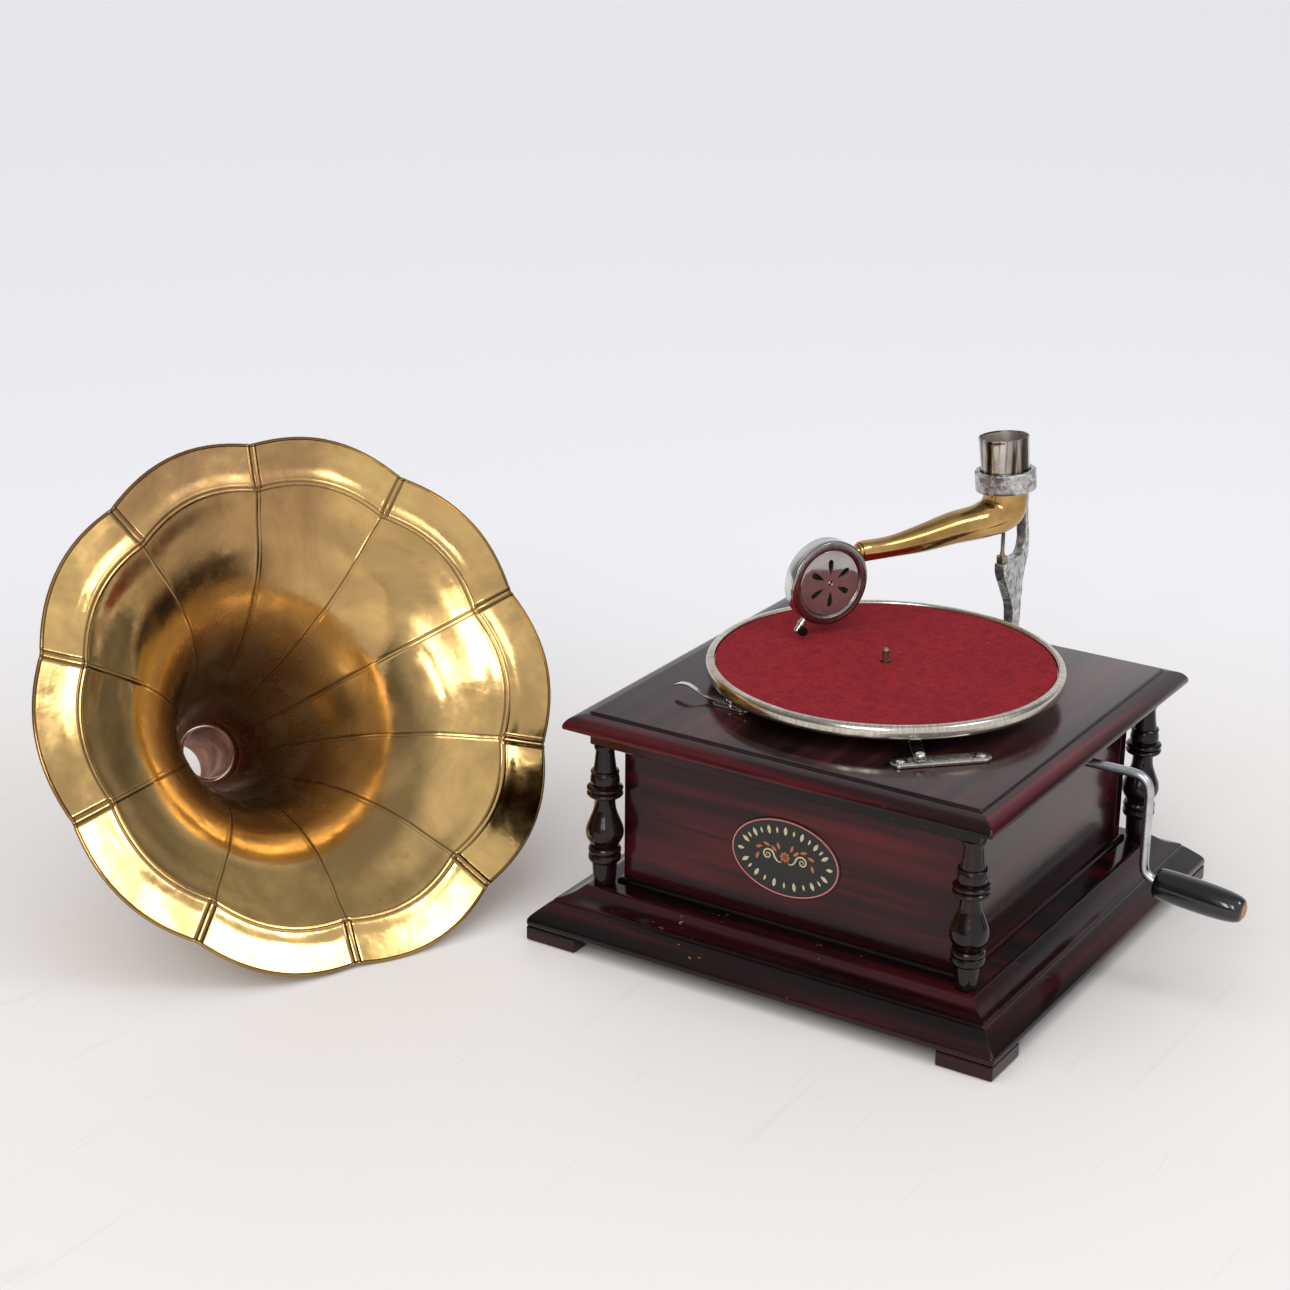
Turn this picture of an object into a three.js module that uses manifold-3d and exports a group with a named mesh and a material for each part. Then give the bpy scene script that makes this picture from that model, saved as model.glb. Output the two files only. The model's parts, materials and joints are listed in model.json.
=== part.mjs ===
// Wind-up horn phonograph: a square wooden cabinet with a spring motor under its lid, a felt-covered
// turntable, a brass tone arm with its sound box, a hand crank, and the petalled brass horn lifted off
// and lying beside the cabinet. Millimetres, +Z up, the table at Z = 0, the crank towards +X and the
// badge towards -Y. The cabinet is laid out about its own centre and the whole set is then moved so
// that the origin lies under the middle of everything.

import * as THREE from "three";
import { mergeVertices } from "three/addons/utils/BufferGeometryUtils.js";
import Module from "manifold-3d";

const wasm = await Module();
wasm.setup();

// ---------- driving dimensions ----------
const GAP = 0.3; // room left between pieces that touch
const CABINET_X = 149; // from the middle of the whole set to the cabinet's centre
const CABINET_Y = 93;

const BASE_HALF = 182; // half the side of the square plinth
const BODY_HALF = 132; // half the side of the box, outside its panels
const LID_HALF = 164; // half the side of the lid at its widest
const FRAME_HALF = 149.5; // half the side of the frame under the lid
const FOOT_SIDE = 41;
const FOOT_TOP = 10.4;
const BASE_TOP = 39;
const FRAME_BOTTOM = 146;
const LID_BOTTOM = 158.8;
const LID_TOP = 171.2;
const PANEL_THICK = 10;
const COLUMN_AT = 141.9; // the columns stand free outside the corners of the box

const SPINDLE = { x: -2, y: 5 }; // the spring barrel and the crank stand in line with it
const PLATTER_R = 127;
const FELT_R = 120.3;
const FELT_TOP = 190.6;
const RIM_TOP = 192.1;
const RIM_BOTTOM = 182.6;

const BARREL = { x: 62, y: SPINDLE.y };
const BARREL_R = 32;
const BARREL_BOTTOM = 96;
const PLATE_LOW = 56; // underside of the lower motor plate
const PLATE_HIGH = 156; // underside of the upper motor plate
const PLATE_THICK = 2.5;
const PIVOT_R = 2; // the arbors' pivots in the motor plates

const CRANK_Z = 150.8;
const CRANK_R = 3.3;
const GRIP_DROOP = 4.6; // degrees
const GRIP_START = new THREE.Vector3(210.6, 0, 75.2);
const GRIP_WAY = new THREE.Vector3(1, 0, 0).applyAxisAngle(new THREE.Vector3(0, 1, 0), (GRIP_DROOP * Math.PI) / 180);

const SPUR_MODULE = 1.5;
const WHEEL_TEETH = 48; // on the spring barrel
const SECOND_PINION_TEETH = 12;
const SECOND_WHEEL_TEETH = 40;
const SPINDLE_PINION_TEETH = 10;
const BEVEL_MODULE = 1;
const BEVEL_WHEEL_TEETH = 24;
const BEVEL_PINION_TEETH = 11;
const WORM_MODULE = 1.25;
const WORM_WHEEL_TEETH = 24;
const WORM_STARTS = 2;
const WORM_R = 5;
const GOVERNOR_Z = 80;

const ARM_PIVOT = { x: 1, y: 185 };
const ARM_HEADING = -119.3; // degrees from +X, the way the arm points at rest
const ARM_LENGTH = 127.9;
const ARM_END_Z = 241.6;
const RING_BOTTOM = 271.5; // the bracket's ring round the top of the tone arm
const RING_HEIGHT = 15.8;
const RING_R = 22.8;
const RING_LEAN = 6; // degrees, towards -X
const SLEEVE_R = 18.2; // at its foot; it widens a little upwards
const SLEEVE_TOP = 312.5;
const SHELF_TOP = 213.5; // where the pivot pin stands on the bracket

const BOX_R = 31.5; // sound box
const BOX_AT = { ahead: 164.5, back: 6.2, z: 228.6 }; // centre of its back face, in the arm's own frame
const CHUCK_LEAN = 37; // degrees, forward from straight down
const CHUCK_END = 43.4;

const SPEED_SHAFT = { x: 43, y: -48 };
const SPEED_LEVER = 72.7;
const SPEED_HEADING = -55.7;
const BRAKE = { x: -72, y: -90 };

const PETALS = 10;
const HORN_MOUTH = { x: -336.3, y: -233.2, z: 164.1 };
const HORN_HEADING = 64.74; // degrees the horn's axis is turned from -Y towards +X
const HORN_RISE = 30.28; // degrees its mouth looks up
const FIRST_SEAM = 87; // degrees round the mouth
const HORN_WALL = 1.5;
const NECK_END = 285.6; // distance of the neck's free end behind the mouth
const NECK_R = 21.3;

// ---------- helpers ----------
const rad = THREE.MathUtils.degToRad;

const finish = (color, roughness, metalness) =>
  new THREE.MeshStandardMaterial({ color, roughness, metalness });
const MAHOGANY = finish(0x3a1214, 0.25, 0);
const BLACK_WOOD = finish(0x140c0b, 0.25, 0);
const FELT = finish(0x8c2830, 0.95, 0);
const NICKEL = finish(0xb9b2a4, 0.3, 1);
const STEEL = finish(0x9a9c9e, 0.35, 1);
const CAST = finish(0xa9a9aa, 0.5, 1);
const BRASS = finish(0xb08a3c, 0.25, 1);
const COPPER = finish(0x9a5a3c, 0.35, 1);
const BLACK_GLOSS = finish(0x0c0c0c, 0.15, 0);
const BADGE = finish(0x1b1b1a, 0.4, 0);
const RUBBER = finish(0x2a2725, 0.8, 0);
const MICA = finish(0xd8cfae, 0.3, 0);

function mesh(name, geometry, material) {
  const piece = new THREE.Mesh(geometry, material);
  piece.name = name;
  return piece;
}

function placed(object, x, y, z) {
  object.position.set(x, y, z);
  return object;
}

// A geometry as a manifold-3d solid, and back.
function toSolid(geometry) {
  const bare = geometry.clone();
  bare.deleteAttribute("normal");
  bare.deleteAttribute("uv");
  const merged = mergeVertices(bare, 1e-3);
  return new wasm.Manifold(
    new wasm.Mesh({
      numProp: 3,
      vertProperties: new Float32Array(merged.attributes.position.array),
      triVerts: new Uint32Array(merged.index.array),
    }),
  );
}

function toGeometry(solid) {
  const got = solid.getMesh();
  const geometry = new THREE.BufferGeometry();
  geometry.setAttribute("position", new THREE.BufferAttribute(got.vertProperties, 3));
  geometry.setIndex(new THREE.BufferAttribute(got.triVerts, 1));
  return geometry.toNonIndexed();
}

function join(...geometries) {
  return toGeometry(geometries.map(toSolid).reduce((whole, next) => whole.add(next)));
}

function cut(geometry, ...tools) {
  return toGeometry(tools.map(toSolid).reduce((left, tool) => left.subtract(tool), toSolid(geometry)));
}

const block = (x0, x1, y0, y1, z0, z1) =>
  new THREE.BoxGeometry(x1 - x0, y1 - y0, z1 - z0).translate((x0 + x1) / 2, (y0 + y1) / 2, (z0 + z1) / 2);

// An upright rod, standing on z0.
const rod = (radius, z0, z1, sides = 12) =>
  new THREE.CylinderGeometry(radius, radius, z1 - z0, sides).rotateX(Math.PI / 2).translate(0, 0, (z0 + z1) / 2);

// A solid of revolution about Z. The profile is [radius, height] and runs anticlockwise, seen with the
// radius to the right; one that starts off the axis closes on itself.
function turned(profile, sides) {
  const points = profile.map(([r, z]) => new THREE.Vector2(r, z));
  if (profile[0][0] > 0) points.push(points[0].clone());
  return new THREE.LatheGeometry(points, sides).rotateX(Math.PI / 2);
}

// A tube wall or washer about Z.
const ring = (inner, outer, z0, z1, sides) =>
  turned([[inner, z0], [outer, z0], [outer, z1], [inner, z1]], sides);

// A solid through rings of points, all with the same count and running anticlockwise about the
// direction in which they follow each other. An open row is capped at both ends; a closed one joins
// its last ring to its first.
function loft(rings, closed) {
  const count = rings[0].length;
  const vertices = rings.flat().flatMap((p) => [p.x, p.y, p.z]);
  const faces = [];
  const spans = closed ? rings.length : rings.length - 1;
  for (let i = 0; i < spans; i++) {
    const here = i * count;
    const next = ((i + 1) % rings.length) * count;
    for (let j = 0; j < count; j++) {
      const k = (j + 1) % count;
      faces.push(here + j, here + k, next + k, here + j, next + k, next + j);
    }
  }
  if (!closed) {
    const last = (rings.length - 1) * count;
    for (let j = 1; j < count - 1; j++) {
      faces.push(0, j + 1, j);
      faces.push(last, last + j, last + j + 1);
    }
  }
  const geometry = new THREE.BufferGeometry();
  geometry.setAttribute("position", new THREE.Float32BufferAttribute(vertices, 3));
  geometry.setIndex(faces);
  return geometry.toNonIndexed();
}

const circle = (radius, z, count, turn = 0) =>
  Array.from({ length: count }, (_, i) => {
    const a = turn + (i / count) * 2 * Math.PI;
    return new THREE.Vector3(radius * Math.cos(a), radius * Math.sin(a), z);
  });

// A square board with a moulded edge: the profile is [half side, height], from the bottom up.
const board = (profile) =>
  loft(profile.map(([half, z]) => circle(half * Math.SQRT2, z, 4, Math.PI / 4)), false);

// A plate of an outline in X and Y, with round holes given as [x, y, radius].
function plate(outline, z0, z1, holes = [], sides = 12) {
  const shape = new THREE.Shape(outline.map(([x, y]) => new THREE.Vector2(x, y)));
  for (const [x, y, radius] of holes) {
    const hole = circle(radius, 0, sides).map((p) => new THREE.Vector2(x + p.x, y + p.y));
    shape.holes.push(new THREE.Path(hole));
  }
  const solid = new THREE.ExtrudeGeometry(shape, { depth: z1 - z0, bevelEnabled: false });
  return solid.translate(0, 0, z0);
}

// A strip with round ends between two points in X and Y.
function strip(from, to, width, z0, z1) {
  const heading = Math.atan2(to[1] - from[1], to[0] - from[0]);
  const outline = [];
  const steps = 6;
  for (const [centre, start] of [[to, heading - Math.PI / 2], [from, heading + Math.PI / 2]]) {
    for (let i = 0; i <= steps; i++) {
      const a = start + (i / steps) * Math.PI;
      outline.push([centre[0] + (width / 2) * Math.cos(a), centre[1] + (width / 2) * Math.sin(a)]);
    }
  }
  return plate(outline, z0, z1);
}

// A round bar, or a pipe with a bore, along a curve.
function pipe(path, radius, bore, steps, sides) {
  const shape = new THREE.Shape(circle(radius, 0, sides).map((p) => new THREE.Vector2(p.x, p.y)));
  if (bore > 0) {
    const hole = circle(bore, 0, sides).map((p) => new THREE.Vector2(p.x, p.y));
    shape.holes.push(new THREE.Path(hole));
  }
  return new THREE.ExtrudeGeometry(shape, { steps, bevelEnabled: false, extrudePath: path });
}

// The outline of a gear: four points to a tooth, with stub teeth and open backlash. A tooth is centred
// on the turn angle. Widths are fractions of the tooth pitch, at the root and at the tip.
function gearOutline(teeth, module, turn, { rootWidth = 0.52, tipWidth = 0.26, tip = 0.75, root = 1.05 } = {}) {
  const pitchR = (teeth * module) / 2;
  const step = (2 * Math.PI) / teeth;
  const corners = [
    [-rootWidth / 2, pitchR - root * module],
    [-tipWidth / 2, pitchR + tip * module],
    [tipWidth / 2, pitchR + tip * module],
    [rootWidth / 2, pitchR - root * module],
  ];
  return Array.from({ length: teeth }, (_, i) =>
    corners.map(([offset, radius]) => {
      const a = turn + (i + offset) * step;
      return [radius * Math.cos(a), radius * Math.sin(a)];
    }),
  ).flat();
}

const spurGear = (teeth, z0, z1, bore, turn) =>
  plate(gearOutline(teeth, SPUR_MODULE, turn), z0, z1, bore > 0 ? [[0, 0, bore]] : []);

const spurReach = (a, b) => ((a + b) * SPUR_MODULE) / 2; // between the centres of two meshing gears

// ---------- cabinet ----------
function feet() {
  const at = BASE_HALF - FOOT_SIDE / 2;
  return corners((x, y, name) =>
    mesh(`foot_${name}`, block(x * at - FOOT_SIDE / 2, x * at + FOOT_SIDE / 2, y * at - FOOT_SIDE / 2,
      y * at + FOOT_SIDE / 2, 0, FOOT_TOP), MAHOGANY));
}

// One piece at each corner of the cabinet.
function corners(make) {
  const named = [
    [-1, -1, "front_left"],
    [1, -1, "front_right"],
    [-1, 1, "back_left"],
    [1, 1, "back_right"],
  ];
  return named.map(([x, y, name]) => make(x, y, name));
}

function baseBoard() {
  const profile = [
    [BASE_HALF, FOOT_TOP + GAP],
    [BASE_HALF, 15.8],
    [180.4, 17.6],
    [175, 23],
    [169.8, 27.6],
    [168.2, 28.6],
    [162, 31.2],
    [157, 34.2],
    [153.4, 37.2],
    [151.6, 38.8],
    [150, BASE_TOP],
  ];
  return mesh("base_board", board(profile), MAHOGANY);
}

function panels() {
  const z0 = BASE_TOP + GAP;
  const z1 = FRAME_BOTTOM - GAP;
  const inner = BODY_HALF - PANEL_THICK;
  const side = inner - GAP;
  return [
    mesh("front_panel", block(-BODY_HALF, BODY_HALF, -BODY_HALF, -inner, z0, z1), MAHOGANY),
    mesh("back_panel", block(-BODY_HALF, BODY_HALF, inner, BODY_HALF, z0, z1), MAHOGANY),
    mesh("left_panel", block(-BODY_HALF, -inner, -side, side, z0, z1), MAHOGANY),
    mesh("right_panel", block(inner, BODY_HALF, -side, side, z0, z1), MAHOGANY),
  ];
}

// A turned column: square cap, tapered shaft, a stack of rings, a vase and a tapered foot.
function columns() {
  const z0 = BASE_TOP + GAP;
  const z1 = FRAME_BOTTOM - GAP;
  const height = z1 - z0;
  const profile = [
    [0, 0], [0.072, 0], [0.084, 0.165], [0.105, 0.175], [0.107, 0.265], [0.086, 0.28], [0.122, 0.345],
    [0.123, 0.405], [0.072, 0.555], [0.072, 0.63], [0.12, 0.645], [0.122, 0.7], [0.094, 0.715],
    [0.094, 0.8], [0.078, 0.815], [0.062, 0.965], [0.07, 1], [0, 1],
  ].map(([r, z]) => [r * height, z0 + z * height]);
  return corners((x, y, name) =>
    mesh(`column_${name}`, turned(profile, 10).translate(x * COLUMN_AT, y * COLUMN_AT, 0), BLACK_WOOD));
}

// The frame under the lid, notched on the right for the winding shaft.
function lidFrame() {
  const wide = FRAME_HALF;
  const inner = BODY_HALF - PANEL_THICK - 2;
  const outline = [[-wide, -wide], [wide, -wide], [wide, wide], [-wide, wide]];
  const shape = new THREE.Shape(outline.map(([x, y]) => new THREE.Vector2(x, y)));
  const inside = [[-inner, -inner], [inner, -inner], [inner, inner], [-inner, inner]];
  shape.holes.push(new THREE.Path(inside.map(([x, y]) => new THREE.Vector2(x, y))));
  const depth = LID_BOTTOM - GAP - FRAME_BOTTOM;
  const frame = new THREE.ExtrudeGeometry(shape, { depth, bevelEnabled: false }).translate(0, 0, FRAME_BOTTOM);
  const notch = block(inner - 1, wide + 1, BARREL.y - 4.5, BARREL.y + 4.5, FRAME_BOTTOM - 1, CRANK_Z + 4.5);
  return mesh("lid_frame", cut(frame, notch), MAHOGANY);
}

function lid() {
  const profile = [
    [LID_HALF - 1, LID_BOTTOM],
    [LID_HALF, 160.4],
    [LID_HALF - 0.6, 163],
    [LID_HALF - 2.6, 165.4],
    [159.2, 167.2],
    [154, 168.8],
    [150, 169.3],
    [149.6, 170.9],
    [149.2, LID_TOP],
  ];
  const spindleHole = rod(9, LID_BOTTOM - 1, LID_TOP + 1).translate(SPINDLE.x, SPINDLE.y, 0);
  const leverHole = rod(4, LID_BOTTOM - 1, LID_TOP + 1).translate(SPEED_SHAFT.x, SPEED_SHAFT.y, 0);
  return mesh("lid_board", cut(board(profile), spindleHole, leverHole), MAHOGANY);
}

// The oval badge on the front, standing a little proud of the panel.
function badge() {
  const centre = { x: -1.5, z: 91 };
  const outline = circle(1, 0, 32).map((p) => [42.5 * p.x, 29 * p.y]);
  const oval = plate(outline, 0, 0.8).rotateX(Math.PI / 2);
  return mesh("badge_plate", oval.translate(centre.x, -BODY_HALF - GAP, centre.z), BADGE);
}

// ---------- turntable ----------
function turntable() {
  const plateTop = FELT_TOP - 2;
  const platter = turned([
    [3.4, 176], [14, 176], [14, 186.3], [123.4, 186.3], [124.2, 184.6], [124.4, RIM_BOTTOM],
    [126.2, RIM_BOTTOM + 0.2], [PLATTER_R, 184.8], [PLATTER_R, 188.6], [126.3, 190.8], [124.8, RIM_TOP - 0.2],
    [122, RIM_TOP], [FELT_R + 0.4, 191.3], [FELT_R + 0.4, plateTop], [3.4, plateTop],
  ], 40);
  const felt = ring(3.8, FELT_R, plateTop + GAP, FELT_TOP, 40);
  // The spindle runs from its foot in the lower motor plate to the record pin above the felt.
  const spindle = turned([
    [0, PLATE_LOW + 0.5], [PIVOT_R, PLATE_LOW + 0.5], [PIVOT_R, PLATE_LOW + 3.2], [3, PLATE_LOW + 3.2],
    [3, 191.6], [2.5, 191.6], [2.5, 198.9], [1.6, 200.2], [0, 200.2],
  ], 12);
  const pinion = spurGear(SPINDLE_PINION_TEETH, 132, 142, 0, spindlePinionTurn());
  const group = placed(new THREE.Group(), SPINDLE.x, SPINDLE.y, 0);
  group.add(mesh("platter", platter, NICKEL));
  group.add(mesh("platter_felt", felt, FELT));
  group.add(mesh("spindle", join(spindle, pinion), STEEL));
  group.add(mesh("spindle_worm_wheel", wormWheel(), BRASS));
  return group;
}

// ---------- motor ----------
// The second arbor stands where its pinion meets the barrel wheel and its wheel meets the spindle.
function secondArbor() {
  const toSpindle = spurReach(SECOND_WHEEL_TEETH, SPINDLE_PINION_TEETH);
  const toBarrel = spurReach(WHEEL_TEETH, SECOND_PINION_TEETH);
  const dx = BARREL.x - SPINDLE.x;
  const dy = BARREL.y - SPINDLE.y;
  const apart = Math.hypot(dx, dy);
  const along = (toSpindle ** 2 - toBarrel ** 2 + apart ** 2) / (2 * apart);
  const aside = Math.sqrt(toSpindle ** 2 - along ** 2);
  return {
    x: SPINDLE.x + (along * dx - aside * dy) / apart,
    y: SPINDLE.y + (along * dy + aside * dx) / apart,
  };
}
const SECOND = secondArbor();
const heading = (from, to) => Math.atan2(to.y - from.y, to.x - from.x);
const halfTooth = (teeth) => Math.PI / teeth;

// Each follower is turned so that a gap of its own faces the tooth that its driver points at it.
const barrelWheelTurn = () => heading(BARREL, SECOND);
const secondPinionTurn = () => heading(SECOND, BARREL) + halfTooth(SECOND_PINION_TEETH);
const secondWheelTurn = () => heading(SECOND, SPINDLE);
const spindlePinionTurn = () => heading(SPINDLE, SECOND) + halfTooth(SPINDLE_PINION_TEETH);

function motorFrame() {
  const left = -32;
  const right = 112;
  const back = 66;
  const high = [[left, -64], [right, -64], [right, back], [left, back]];
  const low = [[left, -86], [right, -86], [right, back], [left, back]];
  const pivots = [
    [BARREL.x, BARREL.y, PIVOT_R + 0.4],
    [SECOND.x, SECOND.y, PIVOT_R + 0.4],
  ];
  const upper = plate(high, PLATE_HIGH, PLATE_HIGH + PLATE_THICK, [
    ...pivots,
    [SPINDLE.x, SPINDLE.y, 3.5],
    [SPEED_SHAFT.x, SPEED_SHAFT.y, 3],
    [BARREL.x + 12, BARREL.y, 7.5], // room over the winding pinion
  ]);
  const lower = plate(low, PLATE_LOW, PLATE_LOW + PLATE_THICK, [
    ...pivots,
    [SPINDLE.x, SPINDLE.y, PIVOT_R + 0.4],
  ]);
  const shaftLug = cut(
    block(90, 96, BARREL.y - 7, BARREL.y + 7, CRANK_Z - 7, PLATE_HIGH + 1),
    rod(CRANK_R + 0.4, 89, 97).rotateY(Math.PI / 2).translate(0, BARREL.y, CRANK_Z),
  );
  const governorLugs = [SPINDLE.y + 20, SPINDLE.y - 81].map((y) => cut(
    block(GOVERNOR.x - 5, GOVERNOR.x + 5, y - 2, y + 2, PLATE_LOW + 1, GOVERNOR_Z + 5),
    rod(PIVOT_R + 0.4, -3, 3).rotateX(Math.PI / 2).translate(GOVERNOR.x, y, GOVERNOR_Z),
  ));
  const pillarSpots = [["front_left", left + 6, -57], ["front_right", right - 6, -57], ["back", 50, back - 6]];
  const pillar = () => rod(4, PLATE_LOW + PLATE_THICK + GAP, PLATE_HIGH - GAP, 8);
  return [
    mesh("motor_upper_plate", join(upper, shaftLug), STEEL),
    mesh("motor_lower_plate", join(lower, ...governorLugs), STEEL),
    ...pillarSpots.map(([name, x, y]) => mesh(`motor_pillar_${name}`, pillar().translate(x, y, 0), STEEL)),
  ];
}

// The spring barrel, its toothed cover, and the spring that drives it.
function springBarrel() {
  const wheelBottom = 124;
  const wall = 2;
  const drum = turned([
    [4.6, BARREL_BOTTOM], [BARREL_R, BARREL_BOTTOM], [BARREL_R, wheelBottom - GAP],
    [BARREL_R - wall, wheelBottom - GAP], [BARREL_R - wall, BARREL_BOTTOM + wall], [4.6, BARREL_BOTTOM + wall],
  ], 24);
  const group = placed(new THREE.Group(), BARREL.x, BARREL.y, 0);
  group.add(mesh("spring_barrel", drum, STEEL));
  group.add(mesh("barrel_wheel", spurGear(WHEEL_TEETH, wheelBottom, wheelBottom + 4, 4.6, barrelWheelTurn()), BRASS));
  group.add(mesh("mainspring", spiral(7, BARREL_R - wall - 1, 5, BARREL_BOTTOM + 3, wheelBottom - 1.5), STEEL));
  return group;
}

// A flat spiral ribbon standing on edge.
function spiral(innerR, outerR, turns, z0, z1) {
  const steps = turns * 12;
  const ribbon = 1;
  const edge = (offset) =>
    Array.from({ length: steps + 1 }, (_, i) => {
      const a = (i / steps) * turns * 2 * Math.PI;
      const r = innerR + (i / steps) * (outerR - innerR) + offset;
      return [r * Math.cos(a), r * Math.sin(a)];
    });
  return plate([...edge(ribbon / 2), ...edge(-ribbon / 2).reverse()], z0, z1);
}

function secondArborPieces() {
  const arbor = turned([
    [0, PLATE_LOW + 0.5], [PIVOT_R, PLATE_LOW + 0.5], [PIVOT_R, 59], [2.8, 59], [2.8, 155.5],
    [PIVOT_R, 155.5], [PIVOT_R, 158], [0, 158],
  ], 10);
  const group = placed(new THREE.Group(), SECOND.x, SECOND.y, 0);
  const pinion = spurGear(SECOND_PINION_TEETH, 122, 131, 0, secondPinionTurn());
  group.add(mesh("second_arbor", join(arbor, pinion), STEEL));
  group.add(mesh("second_wheel", spurGear(SECOND_WHEEL_TEETH, 135, 138, 2.8 + GAP, secondWheelTurn()), BRASS));
  return group;
}

// A bevel gear about +Z whose pitch cone has its apex at the origin, with the pitch circle's large end
// at z = -drop. Its hub hangs below it.
function bevelGear(teeth, otherTeeth, turn, bore, hubDrop) {
  const drop = (otherTeeth * BEVEL_MODULE) / 2;
  const small = 0.68;
  const outline = gearOutline(teeth, BEVEL_MODULE, turn, { tip: 0.5, root: 0.95, tipWidth: 0.18, rootWidth: 0.4 });
  const at = (scale) => outline.map(([x, y]) => new THREE.Vector3(x * scale, y * scale, -drop * scale));
  const count = outline.length;
  const hubR = ((teeth * BEVEL_MODULE) / 2) * 0.72;
  const start = turn - (0.2 * 2 * Math.PI) / teeth;
  const round = (radius, z) => circle(radius, z, count, start);
  const rings = [round(bore, -drop * small), round(bore, -hubDrop), round(hubR, -hubDrop), round(hubR, -drop - 1.2),
    at(1), at(small)];
  return loft(rings, true);
}

function windingArbor() {
  const arbor = turned([
    [0, PLATE_LOW + 0.5], [PIVOT_R, PLATE_LOW + 0.5], [PIVOT_R, 59], [3, 59], [3, 146.4],
    [PIVOT_R, 146.4], [PIVOT_R, 158], [0, 158],
  ], 10);
  const wheel = bevelGear(BEVEL_WHEEL_TEETH, BEVEL_PINION_TEETH, 0, 3 + GAP, 12);
  const group = placed(new THREE.Group(), BARREL.x, BARREL.y, 0);
  group.add(mesh("winding_arbor", arbor, STEEL));
  group.add(placed(mesh("winding_wheel", wheel, BRASS), 0, 0, CRANK_Z));
  return group;
}

// The crank: shaft, hanging arm and drooping handle are one bent bar.
function crank() {
  const bends = [
    new THREE.Vector3(80, 0, CRANK_Z),
    new THREE.Vector3(187, 0, CRANK_Z),
    new THREE.Vector3(194, 0, CRANK_Z - 1.2),
    new THREE.Vector3(199.4, 0, CRANK_Z - 5.8),
    new THREE.Vector3(201.2, 0, CRANK_Z - 13),
    new THREE.Vector3(201.2, 0, 88),
    new THREE.Vector3(202.4, 0, 81.4),
    new THREE.Vector3(205.8, 0, 77.6),
    GRIP_START.clone(),
    GRIP_START.clone().addScaledVector(GRIP_WAY, 11.4),
  ];
  const path = new THREE.CurvePath();
  path.add(new THREE.LineCurve3(bends[0], bends[1]));
  path.add(new THREE.CatmullRomCurve3(bends.slice(1, 5), false, "centripetal"));
  path.add(new THREE.LineCurve3(bends[4], bends[5]));
  path.add(new THREE.CatmullRomCurve3(bends.slice(5, 9), false, "centripetal"));
  path.add(new THREE.LineCurve3(bends[8], bends[9]));
  const bar = barAlong(path, CRANK_R, 10, [1, 6, 1, 6, 1]);
  const tail = rod(1.8, 69, 80.5, 10).rotateY(Math.PI / 2).translate(0, 0, CRANK_Z);
  const gripLength = 63.5;
  const grip = turned([
    [0, 12], [CRANK_R + 0.4, 12], [CRANK_R + 0.4, 0], [8.6, 0], [10.2, 1.6], [11, 8], [11.2, 40], [10.2, 54],
    [8, 61.6], [4.4, gripLength], [0, gripLength],
  ], 14);
  const pinion = bevelGear(BEVEL_PINION_TEETH, BEVEL_WHEEL_TEETH, 0, 1.8 + GAP, 17);
  const group = placed(new THREE.Group(), 0, BARREL.y, 0);
  group.add(mesh("crank_rod", join(bar, tail), STEEL));
  const handle = placed(mesh("crank_grip", grip, BLACK_GLOSS), GRIP_START.x, 0, GRIP_START.z);
  handle.translateOnAxis(GRIP_WAY, 0.6);
  handle.rotation.y = rad(90 + GRIP_DROOP);
  group.add(handle);
  const gear = placed(mesh("winding_pinion", pinion, STEEL), BARREL.x, 0, CRANK_Z);
  gear.rotation.y = -Math.PI / 2;
  group.add(gear);
  return group;
}

// A bar of round section along joined curves in the XZ plane, with the given steps on each.
function barAlong(path, radius, sides, steps) {
  const rings = [];
  path.curves.forEach((curve, c) => {
    for (let i = c === 0 ? 0 : 1; i <= steps[c]; i++) {
      const p = curve.getPoint(i / steps[c]);
      const t = curve.getTangent(i / steps[c]);
      const up = new THREE.Vector3(-t.z, 0, t.x);
      rings.push(Array.from({ length: sides }, (_, j) => {
        const a = (j / sides) * 2 * Math.PI;
        const q = p.clone().addScaledVector(up, radius * Math.sin(a));
        return q.add(new THREE.Vector3(0, radius * Math.cos(a), 0));
      }));
    }
  });
  return loft(rings, false);
}

// ---------- governor ----------
const WORM_LEAD = Math.PI * WORM_MODULE * WORM_STARTS;
const GOVERNOR = { x: SPINDLE.x + (WORM_WHEEL_TEETH * WORM_MODULE) / 2 + WORM_R };

function wormWheel() {
  const z0 = GOVERNOR_Z - 2;
  const z1 = GOVERNOR_Z + 2;
  const twist = WORM_LEAD / (2 * Math.PI * WORM_R) / ((WORM_WHEEL_TEETH * WORM_MODULE) / 2);
  const outline = gearOutline(WORM_WHEEL_TEETH, WORM_MODULE, 0, { tip: 0.5, tipWidth: 0.18, rootWidth: 0.36 });
  const at = (z) => {
    const a = twist * (z - GOVERNOR_Z);
    return outline.map(([x, y]) =>
      new THREE.Vector3(x * Math.cos(a) - y * Math.sin(a), x * Math.sin(a) + y * Math.cos(a), z));
  };
  const start = -(0.2 * 2 * Math.PI) / WORM_WHEEL_TEETH;
  const bore = 3 + GAP;
  const rings = [circle(bore, z0, outline.length, start), at(z0), at(z1), circle(bore, z1, outline.length, start)];
  return loft(rings, true);
}

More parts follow.
